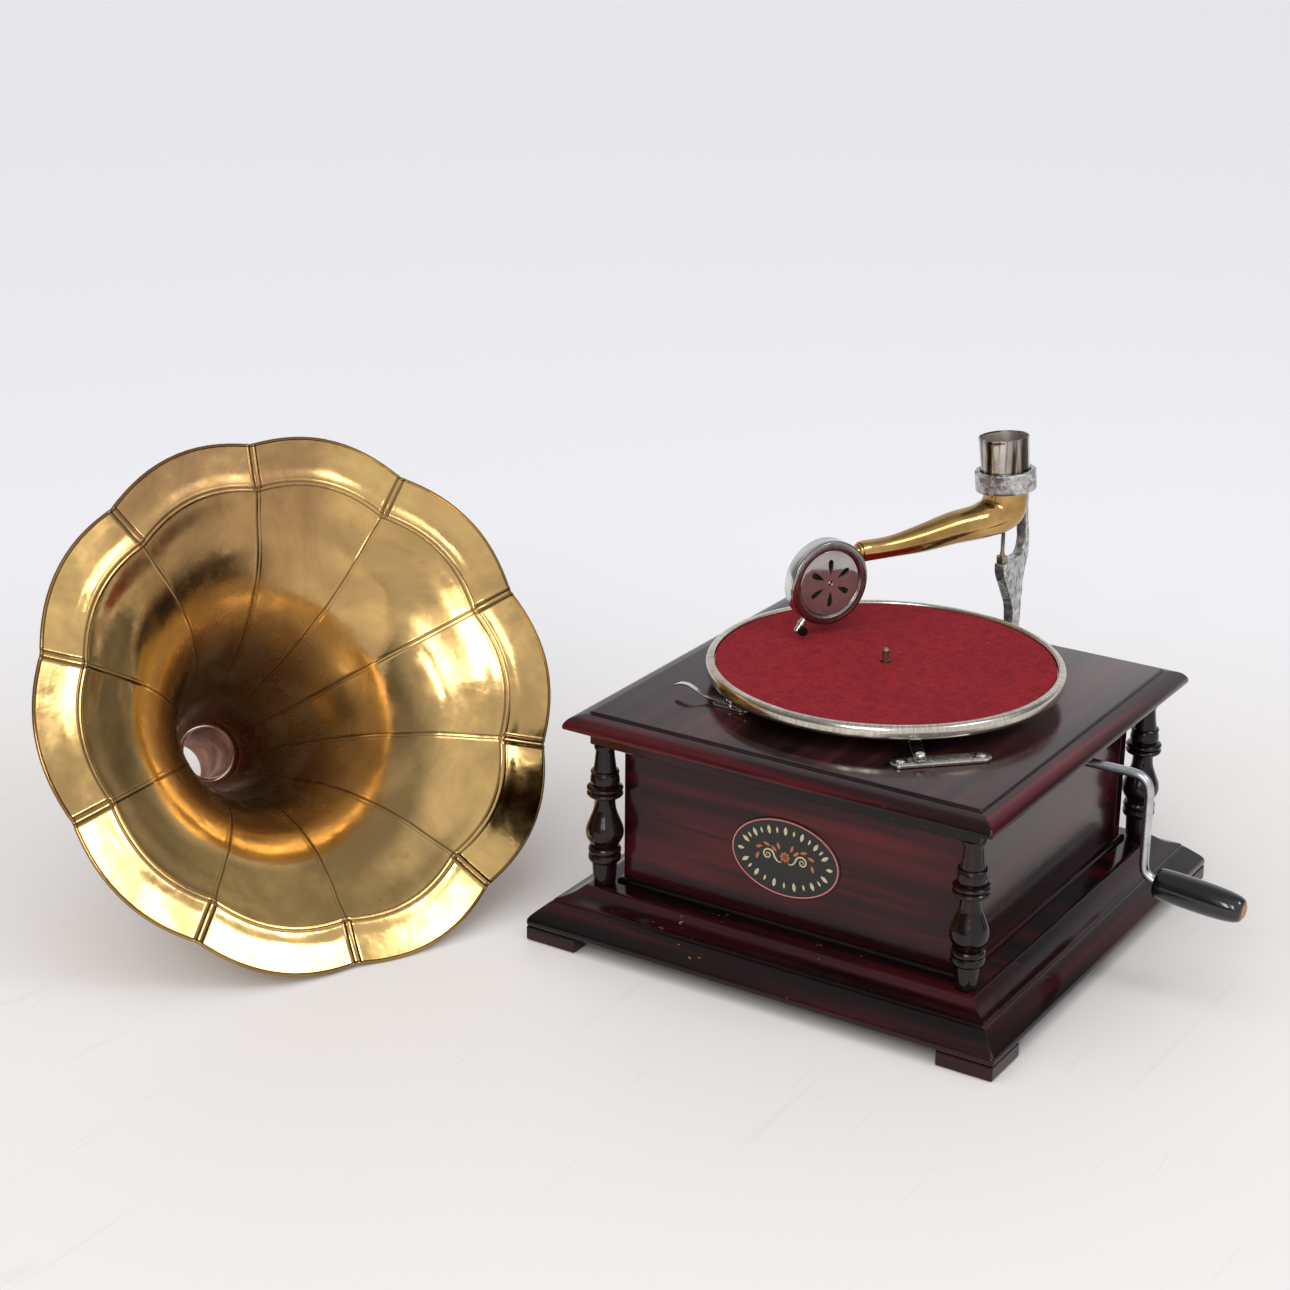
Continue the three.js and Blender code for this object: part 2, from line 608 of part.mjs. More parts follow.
// The governor turns about a level shaft along Y. It is built about +Z and then laid down.
function governor() {
  const wormLength = 12;
  const front = 79; // ends of the shaft, ahead of and behind the spindle
  const rear = -19;
  const section = gearOutline(WORM_STARTS, (2 * WORM_R) / WORM_STARTS, 0,
    { rootWidth: 0.42, tipWidth: 0.18, tip: 0.12, root: 0.24 });
  const turnsOf = (z) => (z / WORM_LEAD) * 2 * Math.PI;
  const wormRings = [];
  const steps = 24;
  for (let i = 0; i <= steps; i++) {
    const z = -wormLength / 2 + (i / steps) * wormLength;
    const a = -turnsOf(z) + Math.PI / WORM_STARTS;
    wormRings.push(densified(section, 12).map(([x, y]) =>
      new THREE.Vector3(x * Math.cos(a) - y * Math.sin(a), x * Math.sin(a) + y * Math.cos(a), z)));
  }
  const shaft = join(loft(wormRings, false), rod(PIVOT_R, rear, front, 12), rod(7, 12, 18, 12));
  const disc = turned([
    [PIVOT_R + GAP, 44], [7, 44], [7, 51], [16, 51], [16, 53], [PIVOT_R + GAP, 53],
  ], 20);
  const group = new THREE.Group();
  group.add(mesh("governor_worm_shaft", shaft, STEEL));
  group.add(mesh("governor_disc", disc, BRASS));
  for (let i = 0; i < 3; i++) {
    const leaf = block(7.3, 8, -2.5, 2.5, 12, 50.5);
    const weight = new THREE.SphereGeometry(4.4, 8, 6).translate(9.4, 0, 31);
    const piece = mesh(`governor_weight_${i + 1}`, join(leaf, weight), BRASS);
    piece.rotation.z = (i / 3) * 2 * Math.PI;
    group.add(piece);
  }
  // Local +Z points along -Y, towards the front of the cabinet.
  group.rotation.x = Math.PI / 2;
  return placed(group, GOVERNOR.x, SPINDLE.y, GOVERNOR_Z);
}

// The same outline with extra points on its longest sides.
function densified(outline, count) {
  const points = outline.map(([x, y]) => [x, y]);
  while (points.length < count) {
    let longest = 0;
    let at = 0;
    points.forEach(([x, y], i) => {
      const [u, v] = points[(i + 1) % points.length];
      const length = Math.hypot(u - x, v - y);
      if (length > longest + 1e-6) [longest, at] = [length, i];
    });
    const [x, y] = points[at];
    const [u, v] = points[(at + 1) % points.length];
    const a = (Math.atan2(y, x) + Math.atan2(v, u) + (Math.atan2(v, u) < Math.atan2(y, x) ? 2 * Math.PI : 0)) / 2;
    const r = (Math.hypot(x, y) + Math.hypot(u, v)) / 2;
    points.splice(at + 1, 0, [r * Math.cos(a), r * Math.sin(a)]);
  }
  return points;
}

// ---------- controls on the lid ----------
function speedControl() {
  const end = [
    SPEED_SHAFT.x + SPEED_LEVER * Math.cos(rad(SPEED_HEADING)),
    SPEED_SHAFT.y + SPEED_LEVER * Math.sin(rad(SPEED_HEADING)),
  ];
  const leverBottom = 175.2;
  const leverTop = 176.4;
  const shaft = turned([
    [0, PLATE_LOW + PLATE_THICK + GAP], [2.5, PLATE_LOW + PLATE_THICK + GAP], [2.5, leverBottom - GAP],
    [0, leverBottom - GAP],
  ], 10).translate(SPEED_SHAFT.x, SPEED_SHAFT.y, 0);
  const lever = strip([SPEED_SHAFT.x, SPEED_SHAFT.y], end, 8.5, leverBottom, leverTop);
  const knob = turned([[0, leverTop + GAP], [3.6, leverTop + GAP], [3.6, 179.4], [2.6, 180.6], [0, 180.6]], 10);
  const armEnd = [SPEED_SHAFT.x - 17, SPEED_SHAFT.y - 6.6];
  const armFrom = [SPEED_SHAFT.x - 1, SPEED_SHAFT.y - 0.4];
  const arm = strip(armFrom, armEnd, 5, 78, 82);
  const hub = rod(5.5, 76, 84, 12).translate(SPEED_SHAFT.x, SPEED_SHAFT.y, 0);
  return [
    mesh("speed_shaft", join(shaft, hub, arm), STEEL),
    mesh("speed_lever", lever, NICKEL),
    mesh("speed_knob", knob.translate(end[0], end[1], 0), NICKEL),
  ];
}

function speedScale() {
  const from = [73, -115];
  const to = [113, -76];
  const bottom = LID_TOP + GAP;
  const top = 174.3;
  return mesh("speed_scale_plate", strip(from, to, 14, bottom, top), NICKEL);
}

function brakeControl() {
  const bottom = LID_TOP + GAP;
  const base = join(
    block(BRAKE.x - 12, BRAKE.x + 12, BRAKE.y - 5, BRAKE.y + 5, bottom, bottom + 1.5),
    rod(2.2, bottom + 1, 178.4, 10).translate(BRAKE.x, BRAKE.y, 0),
  );
  // The lever is a springy strip, bent up into a finger tab at its outer end.
  const bends = [[0, 175], [-21, 175], [-28, 178.4], [-35, 180.8], [-41, 180.4], [-46, 178.2]];
  const thick = 1.2;
  const side = [
    ...bends.map(([x, z]) => [x, z - thick / 2]),
    ...bends.map(([x, z]) => [x, z + thick / 2]).reverse(),
  ];
  const tab = plate(side.reverse(), -2.5, 2.5).rotateX(Math.PI / 2);
  const pad = [16, -7];
  const lever = cut(
    join(tab, strip([0, 0], pad, 6, 175 - thick / 2, 175 + thick / 2)),
    rod(2.5, 170, 180, 10),
  );
  return [
    mesh("brake_base", base, STEEL),
    mesh("brake_lever", lever.translate(BRAKE.x, BRAKE.y, 0), NICKEL),
    mesh("brake_pad", rod(2.8, 175.9, 185.4, 10).translate(BRAKE.x + pad[0], BRAKE.y + pad[1], 0), RUBBER),
  ];
}

// ---------- bracket and tone arm ----------
function bracket() {
  const outline = [
    [BODY_HALF + GAP, 66], [150, 72], [182, 92], [206, 122], [215, 152], [216.5, 178], [219, 198],
    [223.5, 209], [224.5, 221], [221, 238], [219, 254], [220, 268], [220, 284], [204.5, 284],
    [204.5, 268], [212.5, 262], [214, 250], [215.5, 236], [217, 222], [213, 214.6], [205, SHELF_TOP],
    [180, SHELF_TOP], [182, 204], [193, 187], [201, 172], [202, 158], [194, 136], [172, 116],
    [144, 112], [BODY_HALF + GAP, 112],
  ];
  const web = plate(outline, -4, 4).rotateX(Math.PI / 2).rotateZ(Math.PI / 2).translate(ARM_PIVOT.x, 0, 0);
  const foot = block(ARM_PIVOT.x - 17, ARM_PIVOT.x + 17, BODY_HALF + GAP, BODY_HALF + 4, 58, 122);
  const collar = leaning(ring(SLEEVE_R + GAP, RING_R, RING_BOTTOM, RING_BOTTOM + RING_HEIGHT, 28));
  const pinHole = rod(2.3, SHELF_TOP - 8, SHELF_TOP + 1, 8).translate(ARM_PIVOT.x, ARM_PIVOT.y, 0);
  const bracketSolid = cut(join(web, foot, collar), pinHole);
  return mesh("horn_bracket", bracketSolid, CAST);
}

// The ring and the sleeve in it lean a little to the left, about the foot of the ring.
function leaning(geometry) {
  return geometry.translate(0, 0, -RING_BOTTOM).rotateY(-rad(RING_LEAN))
    .translate(ARM_PIVOT.x, ARM_PIVOT.y, RING_BOTTOM);
}

function hornSleeve() {
  const foot = RING_BOTTOM + 0.5;
  const profile = [
    [SLEEVE_R - 1, foot], [SLEEVE_R, foot], [SLEEVE_R, RING_BOTTOM + RING_HEIGHT + 1], [SLEEVE_R + 0.8, SLEEVE_TOP],
    [SLEEVE_R - 0.2, SLEEVE_TOP],
  ];
  return mesh("horn_sleeve", leaning(turned(profile, 28)), NICKEL);
}

function pivotPin() {
  const pin = turned([
    [0, SHELF_TOP - 7], [1.9, SHELF_TOP - 7], [1.9, 221], [1.5, 222], [1.5, 236.6], [0, 238],
  ], 10);
  const collar = rod(4.6, SHELF_TOP + GAP, SHELF_TOP + 5.3, 6);
  return mesh("arm_pivot_pin", join(pin, collar).translate(ARM_PIVOT.x, ARM_PIVOT.y, 0), STEEL);
}

// The tone arm's pipe, in the arm's own frame: +X along the arm, +Z up. Each section runs from a point
// on the upper side to one on the lower side, with half its width across.
function armTube() {
  const wall = 1.3;
  const sections = [
    { top: [16.3, 275.4], low: [-16.3, 275.4], wide: 16.3 },
    { top: [16.8, 267.6], low: [-16.8, 264.5], wide: 16.8 },
    { top: [17.3, 265.4], low: [-15, 253.5], wide: 16.8 },
    { top: [18.2, 264.8], low: [-9, 244.6], wide: 16.3 },
    { top: [20.5, 264.2], low: [1, 239.4], wide: 15.2 },
    { top: [27, 262.4], low: [17, 236.8], wide: 13.6 },
    { top: [49.5, 259.8], low: [46.5, 235.8], wide: 12.1 },
    { top: [76.6, 253.9], low: [73.6, 233.6], wide: 9.9 },
    { top: [101.6, 249.6], low: [100.6, 233.6], wide: 7.9 },
    { top: [ARM_LENGTH, ARM_END_Z + 7.85], low: [ARM_LENGTH, ARM_END_Z - 7.85], wide: 7.85 },
  ];
  const count = 16;
  const around = ({ top, low, wide }, inset) => {
    const centre = new THREE.Vector2((top[0] + low[0]) / 2, (top[1] + low[1]) / 2);
    const half = new THREE.Vector2(top[0], top[1]).sub(centre);
    const tall = half.length() - inset;
    half.normalize();
    return Array.from({ length: count }, (_, i) => {
      const a = (i / count) * 2 * Math.PI;
      const rise = tall * Math.cos(a);
      return new THREE.Vector3(centre.x + half.x * rise, (wide - inset) * Math.sin(a), centre.y + half.y * rise);
    });
  };
  const rings = [
    ...sections.map((s) => around(s, 0)),
    ...sections.map((s) => around(s, wall)).reverse(),
  ];
  return mesh("tonearm_tube", loft(rings.reverse(), true), BRASS);
}

// ---------- sound box, about the centre of its back face; +Y is the way its face looks ----------
function soundBox() {
  const about = (profile, sides) => turned(profile, sides).rotateX(-Math.PI / 2);
  const lean = rad(CHUCK_LEAN);
  const radial = (geometry) => geometry.rotateY(-lean);

  const slot = radial(block(-2.6, 2.6, 8.2, 11, -BOX_R - 1, -26));
  const shell = cut(about([
    [5.3, 0], [BOX_R - 0.8, 0], [BOX_R, 0.8], [BOX_R, 10.6], [28.4, 10.6], [28.4, 2], [5.3, 2],
  ], 32), slot);
  const rim = about([
    [24.2, 10.9], [BOX_R, 10.9], [BOX_R, 12.8], [30, 13.6], [26, 13.6], [25.2, 12.6], [24.2, 12.6],
  ], 32);
  const bar = join(
    radial(block(-1.5, 1.5, 8.6, 10.4, -32, 2.5)),
    radial(rod(2.4, -CHUCK_END, -BOX_R - 0.5, 10).translate(0, 9.5, 0)),
  );
  const thumb = radial(rod(3.4, 0, 5.5, 12).rotateX(-Math.PI / 2).translate(0, 12.2, -39.9));
  const group = new THREE.Group();
  group.add(mesh("soundbox_shell", shell, NICKEL));
  group.add(mesh("soundbox_cover", join(rim, grille()), NICKEL));
  group.add(mesh("diaphragm", about([[0, 6], [28, 6], [28, 6.6], [0, 6.6]], 20), MICA));
  group.add(mesh("needle_bar", bar, NICKEL));
  group.add(mesh("needle_thumb_screw", thumb, BLACK_GLOSS));
  group.add(mesh("soundbox_crook", crook(), BRASS));
  return placed(group, BOX_AT.ahead, BOX_AT.back, BOX_AT.z);
}

// The front cover: a disc pierced by six long petals about a small round hole.
function grille() {
  const radius = 24.9;
  const outline = circle(radius, 0, 32).map((p) => new THREE.Vector2(p.x, p.y));
  const shape = new THREE.Shape(outline);
  const sides = 8;
  for (let i = 0; i < 6; i++) {
    const turn = (i / 6) * 2 * Math.PI + Math.PI / 2;
    const petal = circle(1, 0, sides).map((p) => {
      const along = 12.5 + 5.4 * p.x;
      const across = 2.1 * p.y;
      return new THREE.Vector2(along * Math.cos(turn) - across * Math.sin(turn),
        along * Math.sin(turn) + across * Math.cos(turn));
    });
    shape.holes.push(new THREE.Path(petal));
  }
  shape.holes.push(new THREE.Path(circle(2.2, 0, sides).map((p) => new THREE.Vector2(p.x, p.y))));
  const disc = new THREE.ExtrudeGeometry(shape, { depth: 1.4, bevelEnabled: false });
  return disc.rotateX(Math.PI / 2).translate(0, 12.8, 0);
}

// The bent pipe from the end of the tone arm into the back of the sound box.
function crook() {
  const rise = ARM_END_Z - BOX_AT.z;
  const aside = -BOX_AT.back;
  const back = ARM_LENGTH - BOX_AT.ahead;
  const path = new THREE.CatmullRomCurve3([
    new THREE.Vector3(back - 9, aside, rise),
    new THREE.Vector3(back + 4, aside, rise),
    new THREE.Vector3(-22, aside - 0.6, rise - 0.6),
    new THREE.Vector3(-10.5, aside - 3.4, rise - 4.6),
    new THREE.Vector3(-2.2, aside - 4.6, 2.6),
    new THREE.Vector3(0, aside - 0.6, 0),
    new THREE.Vector3(0, 1.7, 0),
  ]);
  return pipe(path, 5, 3.8, 22, 10);
}

function toneArm() {
  const arm = placed(new THREE.Group(), ARM_PIVOT.x, ARM_PIVOT.y, 0);
  arm.rotation.z = rad(ARM_HEADING);
  arm.add(armTube());
  arm.add(soundBox());
  return arm;
}

// ---------- horn, about the centre of its mouth; +Z is the way it looks ----------
function horn() {
  const group = placed(new THREE.Group(), HORN_MOUTH.x, HORN_MOUTH.y, HORN_MOUTH.z);
  group.rotation.set(rad(90 - HORN_RISE), 0, rad(HORN_HEADING), "ZYX");
  group.add(mesh("horn_bell", hornBell(), BRASS));
  const neckTop = -206;
  group.add(mesh("horn_neck", ring(NECK_R - 1.2, NECK_R, -NECK_END, neckTop, 24), COPPER));
  return group;
}

// The bell is ten petals, pinched in at their seams and bowed forward between them towards the rim.
function hornBell() {
  const perPetal = 4;
  const count = PETALS * perPetal;
  const flare = [
    [187, 1.2], [178, -0.4], [167, -2.2], [155.6, -3.6], [140, -12], [113.5, -25.5], [90, -47], [74.5, -69],
    [64, -88], [55.5, -108], [40, -150], [22, -211],
  ];
  const ringOf = ([radius, z], outward) => {
    const reach = THREE.MathUtils.smoothstep(radius, 60, 187);
    return Array.from({ length: count }, (_, i) => {
      const bow = Math.sin(((i % perPetal) / perPetal) * Math.PI);
      const r = radius + reach * 6 * bow + outward * Math.min(1, 1.2 - reach * 0.9);
      const a = rad(FIRST_SEAM) + (i / count) * 2 * Math.PI;
      const forward = reach * 3 * bow - outward * (0.3 + reach * 0.7);
      return new THREE.Vector3(r * Math.cos(a), r * Math.sin(a), z + forward);
    });
  };
  const inside = flare.map((p) => ringOf(p, 0));
  const outside = flare.map((p) => ringOf(p, HORN_WALL)).reverse();
  return loft([...inside, ...outside], true);
}

// ---------- assembly ----------
const phonograph = new THREE.Group();
phonograph.add(
  ...feet(),
  baseBoard(),
  ...panels(),
  ...columns(),
  lidFrame(),
  lid(),
  badge(),
  ...motorFrame(),
  springBarrel(),
  windingArbor(),
  secondArborPieces(),
  turntable(),
  governor(),
  crank(),
  ...speedControl(),
  speedScale(),
  ...brakeControl(),
  bracket(),
  hornSleeve(),
  pivotPin(),
  toneArm(),
  horn(),
);
placed(phonograph, CABINET_X, CABINET_Y, 0);

export default phonograph;
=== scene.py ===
"""Looks of a wind-up horn phonograph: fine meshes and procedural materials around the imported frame.

Lengths in the tables are millimetres in the cabinet's own frame: the origin is the middle of its
base on the table, +Z is up, the crank is towards +X and the badge towards -Y. Materials work in
metres, in the frame's own axes.
"""
import json
import math

import bmesh
import bpy
import numpy as np
from mathutils import Matrix, Vector, noise


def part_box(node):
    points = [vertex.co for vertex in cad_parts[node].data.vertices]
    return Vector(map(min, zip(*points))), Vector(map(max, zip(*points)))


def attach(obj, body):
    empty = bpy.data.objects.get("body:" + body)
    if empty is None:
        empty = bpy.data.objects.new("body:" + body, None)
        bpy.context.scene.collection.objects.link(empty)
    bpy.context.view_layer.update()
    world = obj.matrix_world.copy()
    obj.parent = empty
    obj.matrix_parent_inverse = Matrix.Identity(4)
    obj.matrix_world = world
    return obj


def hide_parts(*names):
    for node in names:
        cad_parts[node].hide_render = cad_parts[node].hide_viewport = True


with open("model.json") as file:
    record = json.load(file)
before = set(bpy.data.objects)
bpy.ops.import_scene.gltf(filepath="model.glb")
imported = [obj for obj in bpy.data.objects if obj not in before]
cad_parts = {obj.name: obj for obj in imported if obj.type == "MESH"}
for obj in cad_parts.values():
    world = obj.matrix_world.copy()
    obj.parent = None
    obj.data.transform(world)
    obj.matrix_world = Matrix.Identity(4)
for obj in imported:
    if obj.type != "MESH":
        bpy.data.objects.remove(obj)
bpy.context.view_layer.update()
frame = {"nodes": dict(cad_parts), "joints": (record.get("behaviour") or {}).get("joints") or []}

# ---------- places ----------
MM = 0.001  # metres
ARM_HEADING = -119.3  # degrees from +X, the way the arm points at rest
ARM_END = (127.9, 241.6)  # how far out along the arm its pipe ends, and the height of its centre there
BOX_AT = (164.5, 6.2, 228.6)  # middle of the sound box's back, in the arm's own frame
CHUCK_LEAN = 37  # degrees forward from straight down
RING_BOTTOM = 271.5
RING_HEIGHT = 15.8
RING_LEAN = 6  # degrees
HORN_MOUTH = (-336.3, -233.2, 164.1)  # its middle
HORN_HEADING = 64.74  # degrees, the way the mouth looks
HORN_RISE = 30.28  # degrees that it looks upwards
PETALS = 10
FIRST_SEAM = 87  # degrees round the mouth


def turn(degrees, axis):
    return Matrix.Rotation(math.radians(degrees), 4, axis)


def shift(x, y, z):
    return Matrix.Translation((x, y, z))


BASE = sum(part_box("base_board"), Vector()) / 2
CABINET = shift(BASE.x, BASE.y, 0) @ Matrix.Scale(MM, 4)
TO_CABINET = CABINET.inverted()


def pivot(joint):
    """Where a joint's axis is, in the cabinet's own frame."""
    return TO_CABINET @ Vector(next(j["pos_m"] for j in frame["joints"] if j["name"] == joint))


def above(point, height=0.0):
    """The cabinet's own frame, moved to stand over a point at some height."""
    return CABINET @ shift(point[0], point[1], height)


SPINDLE = pivot("platter_spin")
SPEED_SHAFT = pivot("speed_lever_swing")
BRAKE = pivot("brake_swing")
ARM_PIVOT = pivot("tone_arm_swing")
CRANK_AXIS = pivot("crank_turn")

ARM = above(ARM_PIVOT) @ turn(ARM_HEADING, "Z")
BOX = ARM @ shift(*BOX_AT)
BOX_FACE = BOX @ turn(-90, "X")  # +Z is the way the sound box looks, +Y is down
COLLAR = above(ARM_PIVOT, RING_BOTTOM) @ turn(-RING_LEAN, "Y")
HORN = CABINET @ shift(*HORN_MOUTH) @ turn(HORN_HEADING, "Z") @ turn(90 - HORN_RISE, "X")


# ---------- shapes: (points, faces) in millimetres ----------
def skin(rings, closed=False):
    """The surface through rings of points that all have the same count. An open row is capped."""
    rings = np.asarray(rings, float)
    rows, count = rings.shape[:2]
    faces = []
    for i in range(rows if closed else rows - 1):
        here, there = i * count, (i + 1) % rows * count
        for j in range(count):
            k = (j + 1) % count
            faces.append((here + j, here + k, there + k, there + j))
    if not closed:
        faces.append(tuple(reversed(range(count))))
        faces.append(tuple(range((rows - 1) * count, rows * count)))
    return rings.reshape(-1, 3), faces


def curve(points, steps):
    """A smooth line through points, with the given steps from each to the next."""
    points = np.asarray(points, float)
    row = np.vstack([2 * points[0] - points[1], points, 2 * points[-1] - points[-2]])
    found = []
    for p0, p1, p2, p3 in zip(row, row[1:], row[2:], row[3:]):
        gaps = [max(np.linalg.norm(b - a), 1e-6) ** 0.5 for a, b in ((p0, p1), (p1, p2), (p2, p3))]
        k0, k1, k2, k3 = np.cumsum([0, *gaps])
        for t in np.linspace(k1, k2, steps, endpoint=False):
            a = (p0 * (k1 - t) + p1 * t) / k1
            b = (p1 * (k2 - t) + p2 * (t - k1)) / (k2 - k1)
            c = (p2 * (k3 - t) + p3 * (t - k2)) / (k3 - k2)
            d = (a * (k2 - t) + b * t) / k2
            e = (b * (k3 - t) + c * (t - k1)) / (k3 - k1)
            found.append((d * (k2 - t) + e * (t - k1)) / (k2 - k1))
    return np.vstack([found, points[-1]])


def line(*stretches):
    """One row of points from several."""
    return np.vstack(stretches)


def all_round(count):
    return np.linspace(0, 2 * np.pi, count, endpoint=False)


def ring(radius, height, angles):
    """Points round Z. The radius and the height are one number or one for each angle."""
    heights = np.broadcast_to(height, len(angles))
    return np.stack([radius * np.cos(angles), radius * np.sin(angles), heights], -1)


def turned(profile, sides):
    """A solid of revolution about Z from [radius, height] points.

    A profile that starts off the axis closes on itself and leaves a bore.
    """
    solid = profile[0][0] == 0
    rows = profile[1:-1] if solid else profile
    return skin([ring(r, z, all_round(sides)) for r, z in rows], not solid)


def ribbed(sections, ribs):
    """A knurled knob about Z from (radius, height, depth of the grooves) sections."""
    a = all_round(ribs * 4)
    return skin([ring(r - depth * (0.5 - 0.5 * np.cos(ribs * a)), z, a) for r, z, depth in sections])


def headings(path):
    """The unit direction of a row of points at each of them."""
    ways = np.gradient(path, axis=0)
    return ways / np.linalg.norm(ways, axis=1)[:, None]


def tube(path, radius, sides):
    """A round bar along a line of points. The radius is one number or one for each point."""
    path = np.asarray(path, float)
    ways = headings(path)
    side = np.cross(ways[0], [0.31, 0.87, 0.39])
    a = all_round(sides)[:, None]
    rings = []
    for point, way, r in zip(path, ways, np.broadcast_to(radius, len(path))):
        side = side - way * side.dot(way)
        side /= np.linalg.norm(side)
        rings.append(point + r * (np.cos(a) * side + np.sin(a) * np.cross(way, side)))
    return skin(rings)


def slab(outline, low, high):
    """A plate of an outline in X and Y."""
    return skin([[(x, y, z) for x, y in outline] for z in (low, high)])


def block(low, high):
    (x0, y0, z0), (x1, y1, z1) = low, high
    return slab([(x0, y0), (x1, y0), (x1, y1), (x0, y1)], z0, z1)


def round_ended(start, end, width, steps):
    """The outline of a strip with round ends between two points in X and Y."""
    heading = math.atan2(end[1] - start[1], end[0] - start[0])
    outline = []
    for centre, first in ((end, heading - math.pi / 2), (start, heading + math.pi / 2)):
        for a in np.linspace(first, first + math.pi, steps):
            outline.append((centre[0] + width / 2 * math.cos(a), centre[1] + width / 2 * math.sin(a)))
    return outline


def square_ring(half, height, corner, steps=4):
    """A square of points with rounded corners."""
    points = []
    for quarter, (sign_x, sign_y) in enumerate(((1, 1), (-1, 1), (-1, -1), (1, -1))):
        for a in np.radians(np.linspace(quarter * 90, quarter * 90 + 90, steps)):
            x = sign_x * (half - corner) + corner * math.cos(a)
            y = sign_y * (half - corner) + corner * math.sin(a)
            points.append((x, y, height))
    return points


def square_board(profile, corner):
    """A square board from [half side, height] points, with rounded upright corners."""
    return skin([square_ring(half, z, corner) for half, z in profile])


def ribbon(path, widths, thick):
    """A flat strip along points in X and Z, lying across Y, with a width for each point."""
    rings = []
    for (x, z), (dx, dz), wide in zip(path, headings(path), widths):
        rings.append([
            (x - dz * up * thick / 2, side * wide / 2, z + dx * up * thick / 2)
            for side, up in ((-1, -1), (1, -1), (1, 1), (-1, 1))
        ])
    return skin(rings)


def together(*shapes):
    points, faces, count = [], [], 0
    for some, their_faces in shapes:
        points.append(np.asarray(some, float))
        faces += [tuple(i + count for i in f) for f in their_faces]
        count += len(some)
    return np.vstack(points), faces


def moved(shape, matrix):
    m = np.array(matrix)
    return np.asarray(shape[0], float) @ m[:3, :3].T + m[:3, 3], shape[1]


# ---------- pieces ----------
SHARP = math.radians(35)  # a sharper edge isn't shaded smooth


def new_object(name, data):
    made = bpy.data.objects.new(name, data)
    bpy.context.scene.collection.objects.link(made)
    return made


def smooth(mesh, round_edges=0.0):
    """Turns the faces outwards, shades them and, if asked, rounds the hard edges by some millimetres."""
    work = bmesh.new()
    work.from_mesh(mesh)
    bmesh.ops.recalc_face_normals(work, faces=work.faces)
    if round_edges:
        hard = [e for e in work.edges if len(e.link_faces) == 2 and e.calc_face_angle(0) > SHARP]
        bmesh.ops.bevel(work, geom=hard, offset=round_edges * MM, segments=3, profile=0.5,
                        affect="EDGES", clamp_overlap=True)
    work.to_mesh(mesh)
    work.free()
    mesh.shade_smooth()
    mesh.set_sharp_from_angle(angle=SHARP)


def mesh_of(name, shape, place, round_edges=0.0):
    points, faces = shape
    mesh = bpy.data.meshes.new(name)
    mesh.from_pydata(np.asarray(points).tolist(), [], faces)
    mesh.transform(place)
    smooth(mesh, round_edges)
    return mesh


def show(name, mesh, material, body, stands_for=()):
    """Makes an object of a mesh that is already in place, and tells the frame what it is."""
    made = new_object(name, mesh)
    mesh.materials.append(material)
    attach(made, body)
    if stands_for:
        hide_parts(*stands_for)
    return made


def piece(name, shape, place, material, body, stands_for=(), round_edges=0.0):
    made = show(name, mesh_of(name, shape, place, round_edges), material, body, stands_for)
    if round_edges:
        made.modifiers.new("even shading", "WEIGHTED_NORMAL").keep_sharp = True
    return made


def wooden(name, shape, material, stands_for=(), grain="x", round_edges=0.0):
    made = piece(name, shape, CABINET, material, "cabinet", stands_for, round_edges)
    lay_grain(made.data, grain)
    return made


def with_modifier(mesh, kind, **settings):
    """The mesh as a modifier leaves it."""
    holder = new_object("holder", mesh)
    modifier = holder.modifiers.new("step", kind)
    for key, value in settings.items():
        setattr(modifier, key, value)
    evaluated = holder.evaluated_get(bpy.context.evaluated_depsgraph_get())
    result = bpy.data.meshes.new_from_object(evaluated)
    bpy.data.objects.remove(holder)
    return result


def carved(name, shape, tool, place):
    """The mesh of a shape with a tool's shape taken out of it."""
    cutter = new_object("cutter", mesh_of("tool", tool, place))
    whole = mesh_of(name, shape, place)
    mesh = with_modifier(whole, "BOOLEAN", operation="DIFFERENCE", solver="EXACT", object=cutter)
    bpy.data.objects.remove(cutter)
    smooth(mesh)
    return mesh


def second_material(made, material, chosen):
    """Gives an object's faces a second material where a test of the face says so."""
    made.data.materials.append(material)
    for face in made.data.polygons:
        face.material_index = int(chosen(face))


def store(mesh, name, kind, domain, values):
    field = "vector" if kind == "FLOAT_VECTOR" else "value"
    made = mesh.attributes.new(name, kind, domain)
    made.data.foreach_set(field, np.asarray(values, np.float32).ravel())


OTHER_BOARD = np.array([3.1, 0.7, 0.4])  # metres along, across and into the tree to boards that lie in Y


def lay_grain(mesh, grain):
    """Stores each face corner's place along, across and into the wood, in metres.

    The grain runs along "x", "y" or "z", or round the sides of a "mitred" frame.
    """
    laid = np.empty((len(mesh.loops), 3))
    for face in mesh.polygons:
        off_x, off_y = abs(face.center.x - BASE.x), abs(face.center.y - BASE.y)
        along_y = grain == "y" or grain == "mitred" and off_x > off_y
        for loop in face.loop_indices:
            x, y, z = mesh.vertices[mesh.loops[loop].vertex_index].co
            x, y = x - BASE.x, y - BASE.y
            if along_y:
                laid[loop] = OTHER_BOARD + (y, x, z)
            else:
                laid[loop] = (z, x, y) if grain == "z" else (x, y, z)
    store(mesh, "grain", "FLOAT_VECTOR", "CORNER", laid)


